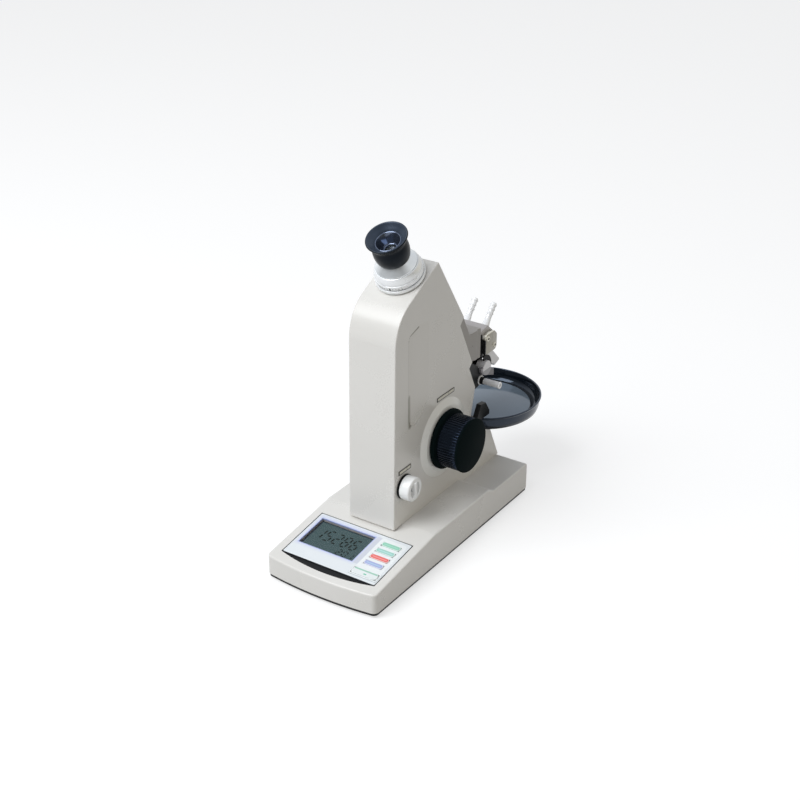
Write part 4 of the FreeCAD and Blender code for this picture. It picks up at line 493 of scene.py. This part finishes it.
# The cheeks' fields: painted light on the barrels, a darker field below them, and black painted shade on the
# knuckle between the barrels.
cheek_fields = (("#EDEDF1", hinge_centre, (0, 8.3, 8.3), 8.2, 0.2, side_view),
                ("#6A686E", (0, 120.0, 135.8), (0, 20.0, 10.0), 0.1, 0.8, side_view),
                (painted_shade_black, hinge_centre, (14.2, 9.0, 9.0), 0.2, 0.2, all_round))
for skin, fields in ((lid_skin, lid_fields), (cheek_skin, cheek_fields)):
    skin_mm = place_in_mm(skin)
    for field in fields:
        print_field(skin, skin_mm, *field)
black_anodised = finish("black_anodised_aluminium", ("#0B0C0E", "#111214"), cloud_mm=10.0,
                        roughness=(0.28, 0.38), grain_mm=0.4, depth_mm=0.004, specular=0.35)
milled_aluminium = finish("milled_aluminium", ("#B4B6B8", "#C2C4C6"), cloud_mm=20.0, roughness=(0.3, 0.42),
                          grain_mm=0.5, depth_mm=0.006, Metallic=1.0)
dress(block_skin, "prism_block")
dress(lid_skin, "lid_block")
dress(cheek_skin, "hinge_cheeks")
dress(black_anodised, "main_prism_bezel", "lid_prism_bezel", "mirror_cradle", "compensator_sleeve",
      "telescope_tube")
dress(milled_aluminium, "optics_frame")


# The end plates of the hinged half: a thin liner and a thicker cover on each side, stamped from nickel
# silver with rounded edges. Two bright lines over the top are painted highlights, and their front edges are
# darkened with painted shade. Two socket screws hold each.
plate_outline = ((115.0, 163.0), (115.0, 183.4), (117.2, 185.2), (126.0, 186.3), (133.6, 185.2),
                 (138.5, 180.4), (138.5, 166.2), (135.3, 163.0))
plate_skin = finish("satin_nickel_silver", ("#A9A598", "#B5B1A3"), cloud_mm=10.0, roughness=(0.24, 0.34),
                    grain_mm=0.5, depth_mm=0.004, Metallic=0.1)
plate_mm = place_in_mm(plate_skin)
# Painted shade on the front edges, then painted highlights along the top.
for field in (("#1A1A1B", (0, 115.0, 170.5), (0, 1.35, 9.5), 0.1, 0.2, side_view),
              ("#F2EFE2", (0, 116.2, 183.6), (0, 1.7, 2.4), 0.6, 0.6, side_view),
              ("#F2EFE2", (0, 126.0, 185.9), (0, 11.0, 0.8), 0.6, 0.6, side_view)):
    print_field(plate_skin, plate_mm, *field)

round_above = math.radians(28)
smooth_below = math.radians(33)
moulded_smooth_below = math.radians(40)
merge_within = MM / 1000


def drawn_line(name, points):
    """A line through points in mm, drawn by extruding one vertex, left in edit mode and all selected."""
    bpy.ops.object.select_all(action="DESELECT")
    bpy.ops.mesh.primitive_plane_add(size=MM)
    line = bpy.context.object
    line.name = name
    bpy.ops.object.mode_set(mode="EDIT")
    bpy.ops.mesh.select_mode(type="VERT")
    bpy.ops.mesh.merge(type="CENTER")
    spot = Vector(points[0]) * MM
    bpy.ops.transform.translate(value=spot)
    for point in points[1:]:
        far = Vector(point) * MM
        bpy.ops.mesh.extrude_region_move(TRANSFORM_OT_translate={"value": far - spot})
        spot = far
    bpy.ops.mesh.select_all(action="SELECT")
    return line


def soften(piece, ease):
    """Rounds the sharp edges by a bevel and smooths the shading between them."""
    bpy.ops.object.select_all(action="DESELECT")
    piece.select_set(True)
    bpy.context.view_layer.objects.active = piece
    if ease:
        rounding = piece.modifiers.new("edges", "BEVEL")
        rounding.width = ease * MM
        rounding.segments = 3
        rounding.limit_method = "ANGLE"
        rounding.angle_limit = round_above
        rounding.use_clamp_overlap = True
        bpy.ops.object.modifier_apply(modifier="edges")
    bpy.ops.object.shade_smooth_by_angle(angle=smooth_below)


def polygon_plate(name, outline, x0, x1, inset, ease):
    """A flat piece from its outline in Y and Z, between two heights along X, with rounded edges."""
    plate = drawn_line(name, [(x0, y, z) for y, z in outline])
    bpy.ops.mesh.edge_face_add()
    if inset:
        bpy.ops.mesh.inset(thickness=inset * MM)
        bpy.ops.mesh.select_all(action="INVERT")
        bpy.ops.mesh.delete(type="VERT")
        bpy.ops.mesh.select_all(action="SELECT")
    bpy.ops.mesh.extrude_region_move(TRANSFORM_OT_translate={"value": Vector((x1 - x0, 0, 0)) * MM})
    bpy.ops.mesh.select_all(action="SELECT")
    bpy.ops.mesh.normals_make_consistent(inside=False)
    bpy.ops.object.mode_set(mode="OBJECT")
    soften(plate, ease)
    return plate


def mirrored_copy(piece):
    """The same piece on the other side of the middle plane, with its own mesh."""
    twin = piece.copy()
    twin.data = piece.data.copy()
    bpy.context.collection.objects.link(twin)
    twin.data.transform(Matrix.Scale(-1, 4, (1, 0, 0)))
    twin.data.flip_normals()
    return twin


plates = []
for x0, x1, inset, ease in ((20.0, 21.5, 0.7, 0.45), (21.7, 24.0, 0.0, 0.7)):
    plate = polygon_plate("plate", plate_outline, x0, x1, inset, ease)
    plates += [plate, mirrored_copy(plate)]
end_plates = joined("end_plates", plates)
end_plates.data.materials.append(plate_skin)
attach(end_plates, "hinged_half")
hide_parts("lid_side_plates")

screw_places = ((120.0, 180.5), (133.5, 169.0))
screw_foot_x = 24.0
screw_socket_radius = 1.25
screw_profile = ((0, 0), (2.9, 0), (2.9, 0.3), (2.5, 0.9), (1.7, 1.1), (1.3, 0.9), (1.2, 0.7), (1.2, 0.12),
                 (0, 0.12))


def set_up(origin, way):
    """Takes what is made upright at the origin to a place in mm, along a way."""
    turn = Vector(way).to_track_quat("Z", "Y").to_matrix().to_4x4()
    return Matrix.Translation(Vector(origin) * MM) @ turn


def turned(name, profile, origin, way, ease, steps):
    """A piece turned on a lathe: its profile of radius and height in mm, spun round its axis."""
    piece = drawn_line(name, [(radius, 0, height) for radius, height in profile])
    bpy.ops.mesh.spin(steps=steps, angle=math.tau, center=(0, 0, 0), axis=(0, 0, 1))
    bpy.ops.mesh.select_all(action="SELECT")
    bpy.ops.mesh.remove_doubles(threshold=merge_within)
    bpy.ops.mesh.normals_make_consistent(inside=False)
    bpy.ops.object.mode_set(mode="OBJECT")
    soften(piece, ease)
    piece.data.transform(set_up(origin, way))
    return piece


heads = []
for y, z in screw_places:
    head = turned("head", screw_profile, (screw_foot_x, y, z), (1, 0, 0), ease=0.0, steps=32)
    heads += [head, mirrored_copy(head)]
plate_screws = joined("end_plate_screws", heads)
screw_nickel = finish("nickel_plated_socket_screw", ("#F1EDDD", "#F7F4E8"), cloud_mm=2.0,
                      roughness=(0.25, 0.35), grain_mm=0.3, depth_mm=0.003, Metallic=0.1)
plate_screws.data.materials.append(screw_nickel)
plate_screws.data.materials.append(black_anodised)
# Painted shade: the faces inside each socket take the black finish.
for face in plate_screws.data.polygons:
    flat = Vector((0, face.center.y, face.center.z))
    if min((flat - Vector((0, y, z)) * MM).length for y, z in screw_places) < screw_socket_radius * MM:
        face.material_index = 1
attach(plate_screws, "hinged_half")
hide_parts("lid_screws")


# The hinge washers: black nylon rings stamped from sheet, which sit on the hinge barrels beside the lugs
# of the hinged half. They are cut away below, and their black is painted shade: a dull black rim behind
# each barrel.
washer_radii = (7.95, 13.6)
washer_x = (20.15, 20.85)
washer_from, washer_to, washer_steps = -40, 104, 24
washer_outline = []
for radius, order in ((washer_radii[1], range(washer_steps + 1)),
                      (washer_radii[0], range(washer_steps, -1, -1))):
    for i in order:
        angle = math.radians(washer_from + (washer_to - washer_from) * i / washer_steps)
        washer_outline.append((hinge_centre[1] + radius * math.cos(angle),
                               hinge_centre[2] + radius * math.sin(angle)))
washer = polygon_plate("washer", washer_outline, *washer_x, inset=0.0, ease=0.0)
hinge_washers = joined("hinge_washers", [washer, mirrored_copy(washer)])
# Painted shade: the washers' black finish.
hinge_washers.data.materials.append(finish("nylon_washer_painted_shade", ("#0B0B0D", "#111113"), cloud_mm=6.0,
                                           roughness=(0.5, 0.6), grain_mm=0.4, depth_mm=0.004, specular=0.2))
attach(hinge_washers, "stand")


# The hose nipples, turned from brass and dull-chromed: two barbed ones on the hinged half's sloping face,
# and two plain ones in the jacket's sides, each pushed on against a black collar. Their near-white, barely
# metallic colour is painted light, standing in for the chrome's bright reflections.
hose_foot = (11.4, 133.75, 185.68)
hose_way = (0, 0.6606, 0.7507)
barb_profile = ((1.8, 0), (4.4, 0), (4.4, 1.5), (4.1, 2.1), (3.1, 10.0), (3.1, 14.4), (3.7, 15.7),
                (3.7, 16.2), (3.15, 16.5), (3.1, 19.1), (3.7, 20.4), (3.7, 20.9), (3.15, 21.2), (3.1, 23.9),
                (3.7, 25.2), (3.7, 25.7), (2.8, 27.7), (2.4, 28.0), (1.8, 28.0), (1.8, 0))
# Painted light: a near-white, barely metallic colour stands in for the chrome's bright reflections.
nipple_chrome_painted_light = finish("chrome_with_painted_light_on_turned_brass", ("#FAFBFD", "#FDFEFF"), cloud_mm=8.0,
                     roughness=(0.12, 0.18), grain_mm=0.5, depth_mm=0.001, Metallic=0.05)
hose_end = turned("hose_end", barb_profile, hose_foot, hose_way, ease=0.12, steps=48)
upper_nipples = joined("barbed_nipples", [hose_end, mirrored_copy(hose_end)])
upper_nipples.data.materials.append(nipple_chrome_painted_light)
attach(upper_nipples, "hinged_half")
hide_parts("upper_hose_nipples")

pipe_foot = (21.0, 111.0, 136.0)
pipe_profile = ((1.8, 0), (5.2, 0), (5.2, 1.2), (2.4, 1.2), (2.4, 5.0), (3.2, 5.0), (3.4, 5.4), (3.4, 22.3),
                (3.67, 22.9), (3.67, 23.9), (3.3, 24.5), (2.2, 24.5), (1.8, 24.1), (1.8, 0))
pipe = turned("pipe", pipe_profile, pipe_foot, (1, 0, 0), ease=0.12, steps=48)
lower_nipples = joined("jacket_nipples", [pipe, mirrored_copy(pipe)])
lower_nipples.data.materials.append(nipple_chrome_painted_light)
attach(lower_nipples, "stand")
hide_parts("lower_hose_nipples")


# The glass: prisms, cells and lenses of optical glass, ground and polished clear, and the tilting mirror,
# silvered on its face.
optical_glass = finish("polished_optical_glass", ("#F2F7F4", "#F6FAF8"), cloud_mm=20.0, roughness=(0.0, 0.02),
                       grain_mm=8.0, depth_mm=0.001, IOR=1.62, **{"Transmission Weight": 1.0})
silvered_glass = finish("silvered_glass_mirror", ("#E8EAEC", "#EEF0F1"), cloud_mm=20.0,
                        roughness=(0.01, 0.03), grain_mm=8.0, depth_mm=0.001, Metallic=1.0)
dress(optical_glass, "main_prism", "illuminating_prism", "upper_cell_prism", "lower_cell_prism",
      "objective_lens", "eye_lens")
dress(silvered_glass, "tilting_mirror")


# The drive inside: bushes, sector and cell rings machined from brass, which keeps a warm satin shine, and
# a dull black neoprene belt. The collars behind the lower nipples are of the same rubber.
brass = finish("machined_brass", ("#B8924A", "#C7A35A"), cloud_mm=5.0, roughness=(0.22, 0.34), grain_mm=0.4,
               depth_mm=0.005, Metallic=1.0)
neoprene = finish("black_neoprene", ("#0C0D0E", "#131415"), cloud_mm=6.0, roughness=(0.5, 0.6), grain_mm=0.4,
                  depth_mm=0.008, specular=0.3)
dress(brass, "knob_bush", "sector_gear", "compensator_bushes", "upper_cell_ring", "lower_cell_ring")
dress(neoprene, "drive_belt", "nipple_collars")


# The eyepiece: a flange and a focus ring with engraved marks, both turned and satin chromed, over the
# bright barrel. The flange stands on a black foot, which is painted shade under it. A gap of a few tenths
# parts each from the next.
eye_origin = Vector((0, -5.849, 287.083))
eye_way = Vector((0, -0.4602, 0.8878))
flange_foot_height = 1.28
flange_profile = ((18.0, 0), (22.6, 0), (22.6, 1.2), (24.6, 1.4), (25.0, 1.9), (25.0, 4.2), (24.5, 4.9),
                  (18.0, 4.9), (18.0, 0))
ring_profile = ((17.0, 6.0), (23.9, 6.0), (24.4, 6.5), (24.4, 10.0), (24.1, 10.5), (23.3, 10.6), (23.3, 11.1),
                (23.75, 11.2), (22.0, 16.6), (21.4, 17.5), (20.7, 17.8), (17.0, 17.8), (17.0, 6.0))
satin_chrome = finish("satin_chrome_on_turned_brass", ("#E9EBED", "#F0F2F3"), cloud_mm=14.0,
                      roughness=(0.2, 0.3), grain_mm=0.4, depth_mm=0.002, Metallic=0.3)
eye_flange = turned("eyepiece_seat_ring", flange_profile, eye_origin, eye_way, ease=0.25, steps=96)
eye_flange.data.materials.append(satin_chrome)
eye_flange.data.materials.append(black_anodised)
# Painted shade: the faces of the flange's foot take the black finish.
for face in eye_flange.data.polygons:
    if (face.center - eye_origin * MM).dot(eye_way) < flange_foot_height * MM:
        face.material_index = 1
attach(eye_flange, "stand")
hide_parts("eyepiece_flange")

marks_each_way = 4
middle_mark_degrees = -80
mark_pitch_degrees = 7.0
mark_depth = 0.3
short_mark, long_mark = 2.0, 3.0
thin_mark, broad_mark = 0.35, 1.5
mark_place = (24.28, 0, 7.9)
engraving = finish("engraved_and_blackened", ("#26282B", "#303236"), cloud_mm=2.0, roughness=(0.5, 0.6),
                   grain_mm=0.3, depth_mm=0.003)
ring_body = turned("ring_body", ring_profile, eye_origin, eye_way, ease=0.25, steps=96)
ring_body.data.materials.append(satin_chrome)
marks = []
for i in range(-marks_each_way, marks_each_way + 1):
    mark_length = short_mark if i % marks_each_way else long_mark
    mark_width = thin_mark if i else broad_mark
    mark = block((mark_depth, mark_width, mark_length), mark_place)
    around = Matrix.Rotation(math.radians(middle_mark_degrees + i * mark_pitch_degrees), 4, "Z")
    mark.data.transform(set_up(eye_origin, eye_way) @ around)
    mark.data.materials.append(engraving)
    marks.append(mark)
focus_ring = joined("focus_ring_with_marks", [ring_body] + marks)
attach(focus_ring, "focusing_ring")
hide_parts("focus_ring")
barrel_chrome = finish("polished_chrome_on_barrel", ("#E6EBEE", "#EEF2F5"), cloud_mm=8.0,
                       roughness=(0.08, 0.12), grain_mm=6.0, depth_mm=0.001, Metallic=0.55)
dress(barrel_chrome, "eyepiece_barrel")


# The eyecup: soft black rubber pulled over the barrel, with a beaded rim and a flare whose inner, upward
# faces are greyer as a painted sheen, and inside it the polished black cone and steps that lead down to the
# eye lens.
sheen_from_height = 46.0
sheen_radius = 20.0
sheen_faces_out = 0.2
cup_profile = ((14.4, 24.8), (15.5, 25.9), (16.6, 28.4), (17.4, 31.4), (17.8, 34.8), (17.75, 38.4),
               (17.3, 41.6), (16.6, 43.7), (16.4, 44.8), (16.7, 46.2), (17.9, 48.7), (19.6, 51.2),
               (20.4, 51.7), (20.7, 52.3), (20.5, 52.9), (19.9, 53.2), (19.2, 52.95), (18.6, 52.3),
               (15.4, 49.4), (12.9, 47.6), (12.5, 46.9), (12.5, 36.8), (14.4, 36.0), (14.4, 24.8))
eye_rubber = finish("moulded_eyecup_rubber", ("#080B0E", "#0C1013"), cloud_mm=8.0, roughness=(0.3, 0.4),
                    grain_mm=0.5, depth_mm=0.005, specular=0.2, tint="#BFD0EA")
cup_painted_sheen = finish("eyecup_inner_flare_painted_sheen", ("#2A323D", "#323B48"), cloud_mm=8.0, roughness=(0.3, 0.4),
                    grain_mm=0.5, depth_mm=0.003, tint="#C6D6F0")
cup = turned("rubber_eyecup", cup_profile, eye_origin, eye_way, ease=0.0, steps=96)
cup.data.materials.append(eye_rubber)
cup.data.materials.append(cup_painted_sheen)
# Painted sheen: the inner faces of the flare that look up take the greyer finish.
for face in cup.data.polygons:
    out = face.center - eye_origin * MM
    height = out.dot(eye_way)
    faces_out = face.normal.dot(eye_way) > sheen_faces_out
    within = (out - eye_way * height).length < sheen_radius * MM
    if height / MM > sheen_from_height and faces_out and within:
        face.material_index = 1
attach(cup, "eyepiece")
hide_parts("eyecup")

cone_black = finish("polished_black_anodised_cone", ("#5C6576", "#687284"), cloud_mm=4.0,
                    roughness=(0.1, 0.15), grain_mm=0.5, depth_mm=0.001, Metallic=0.85)
cone_profile = ((12.6, 46.6), (12.9, 47.5), (12.4, 47.8), (11.8, 47.5), (11.4, 46.8), (7.4, 39.6),
                (7.1, 38.9), (6.7, 38.6), (6.7, 38.0), (6.0, 37.8), (5.6, 37.4), (5.6, 36.8), (8.0, 36.8),
                (12.6, 46.6))
cone = turned("eye_cone", cone_profile, eye_origin, eye_way, ease=0.1, steps=96)
cone.data.materials.append(cone_black)
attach(cone, "eyepiece")


# The measuring knob: moulded in black plastic, with a broad bevelled skirt against the column, sixty
# raised grip ribs that glint blue-black, and a plain matt face inside a rounded rim.
knob_foot = (31.0, 30.0, 106.5)
rib_count = 60
rib_width = 1.3
rib_height = 0.85
rib_length = 21.6
rib_start = 5.6
rib_round = 0.42
grip_radius = 27.1
glossy_from_x, glossy_to_x = 36.6, 58.2
knob_profile = ((0, 0), (30.6, 0), (31.5, 0.9), (31.5, 3.5), (30.4, 4.6), (28.8, 4.7), (27.5, 5.2),
                (27.1, 5.8), (27.1, 27.0), (27.6, 27.3), (28.4, 27.7), (28.4, 28.7), (27.9, 29.5),
                (26.8, 30.0), (0, 30.0))
knob_plastic = finish("moulded_black_knob", ("#090D12", "#0E131A"), cloud_mm=16.0, roughness=(0.12, 0.17),
                      grain_mm=0.4, depth_mm=0.002, tint="#9DBAE8")
knob_matt = finish("matt_black_knob_face", ("#0B1415", "#0E1819"), cloud_mm=16.0, roughness=(0.5, 0.6),
                   grain_mm=0.4, depth_mm=0.004, specular=0.01)
knob_body = turned("knob_body", knob_profile, (0, 0, 0), (0, 0, 1), ease=0.0, steps=120)
rib = block((rib_height * 2, rib_width, rib_length), (grip_radius, 0, rib_start + rib_length / 2))
for edge in rib.data.edges:
    ends = [rib.data.vertices[i].co for i in edge.vertices]
    edge.select = min(e.x for e in ends) > grip_radius * MM
bpy.ops.object.mode_set(mode="EDIT")
bpy.ops.mesh.select_mode(type="EDGE")
bpy.ops.mesh.bevel(offset=rib_round * MM, segments=3, affect="EDGES")
bpy.ops.mesh.select_all(action="SELECT")
bpy.ops.mesh.spin(steps=rib_count, dupli=True, angle=math.tau, center=(0, 0, 0), axis=(0, 0, 1))
bpy.ops.mesh.select_all(action="SELECT")
bpy.ops.mesh.remove_doubles(threshold=merge_within)
bpy.ops.object.mode_set(mode="OBJECT")
bpy.ops.object.shade_smooth_by_angle(angle=moulded_smooth_below)
knob = joined("ribbed_measuring_knob", [knob_body, rib])
knob.data.transform(set_up(knob_foot, (1, 0, 0)))
knob.data.materials.append(knob_plastic)
knob.data.materials.append(knob_matt)
for face in knob.data.polygons:
    if not glossy_from_x * MM < face.center.x < glossy_to_x * MM:
        face.material_index = 1
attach(knob, "measuring_drive")
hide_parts("measuring_knob")


# The small white knob that turns the dispersion compensator: a drum moulded in white ABS, pressed on its
# shaft, with a finger bar across its face and a deep hollow on each side of the bar.
drum_foot = (29.4, -41.0, 83.5)
drum_height = 11.0
drum_profile = ((0, 0), (12.2, 0), (12.5, 0.3), (12.5, 9.4), (12.1, 10.4), (11.2, drum_height),
                (0, drum_height))
bar_size = (4.0, 17.5, 5.0)
bar_centre = (0, 0, 10.1)
bar_ease = 0.9
hollow_offset = 4.3
hollow_radii = (3.4, 6.8, 7.0)
white_moulding = finish("moulded_white_abs", ("#F4F5F5", "#F9FAFA"), cloud_mm=16.0, roughness=(0.22, 0.3),
                        grain_mm=0.5, depth_mm=0.003)
drum = turned("white_compensator_knob", drum_profile, (0, 0, 0), (0, 0, 1), ease=0.2, steps=72)
finger_bar = block(bar_size, bar_centre)
soften(finger_bar, bar_ease)
shapers = []
for side in (-1, 1):
    bpy.ops.mesh.primitive_uv_sphere_add(segments=32, ring_count=20, radius=1,
                                         location=(side * hollow_offset * MM, 0, drum_height * MM),
                                         scale=[radius * MM for radius in hollow_radii])
    bpy.ops.object.transform_apply(location=True, rotation=True, scale=True)
    shapers.append((bpy.context.object, "DIFFERENCE"))
shapers.append((finger_bar, "UNION"))
bpy.ops.object.select_all(action="DESELECT")
drum.select_set(True)
bpy.context.view_layer.objects.active = drum
for shaper, operation in shapers:
    shaping = drum.modifiers.new("shaping", "BOOLEAN")
    shaping.operation = operation
    shaping.object = shaper
    shaping.solver = "EXACT"
    bpy.ops.object.modifier_apply(modifier="shaping")
    bpy.data.objects.remove(shaper)
bpy.ops.object.shade_smooth_by_angle(angle=moulded_smooth_below)
drum.data.transform(set_up(drum_foot, (1, 0, 0)))
drum.data.materials.clear()
drum.data.materials.append(white_moulding)
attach(drum, "compensator_drive")
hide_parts("compensator_knob")


# The drip tray: a shallow round dish, vacuum formed in dark slate plastic with a gloss. Its rolled rim
# catches the light, and a channel runs round the raised floor. The inner wall and channel are darker as
# painted shade, and the floor is paler as a painted reflection.
tray_centre = (0, 153.0, 0)
tray_profile = ((0, 84.6), (55.6, 84.6), (56.6, 84.0), (59.0, 84.0), (60.2, 85.0), (61.6, 89.0), (62.7, 96.6),
                (63.3, 97.2), (63.6, 98.0), (63.4, 98.7), (62.8, 99.0), (61.9, 98.9), (61.4, 98.2),
                (60.6, 92.0), (59.2, 88.2), (57.4, 86.5), (55.4, 86.2), (54.0, 86.5), (52.8, 87.3),
                (51.4, 87.6), (0, 87.6))
tray_sheet = finish("formed_slate_plastic", ("#202835", "#283140"), cloud_mm=30.0, roughness=(0.08, 0.12),
                    grain_mm=1.2, depth_mm=0.001, tint="#C6D8F0")
tray_mm = place_in_mm(tray_sheet)
# Painted shade over the inner wall and channel, then a painted reflection over the floor.
for colour, radius, soft in (("#10151B", 61.45, 0.3), ("#727F8B", 51.6, 1.0)):
    half = (radius + 0.1, radius + 0.1, 0)
    print_field(tray_sheet, tray_mm, colour, tray_centre, half, radius, soft, top_view)
tray = turned("drip_dish", tray_profile, tray_centre, (0, 0, 1), ease=0.0, steps=128)
tray.data.materials.append(tray_sheet)
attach(tray, "tray")
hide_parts("drip_tray")
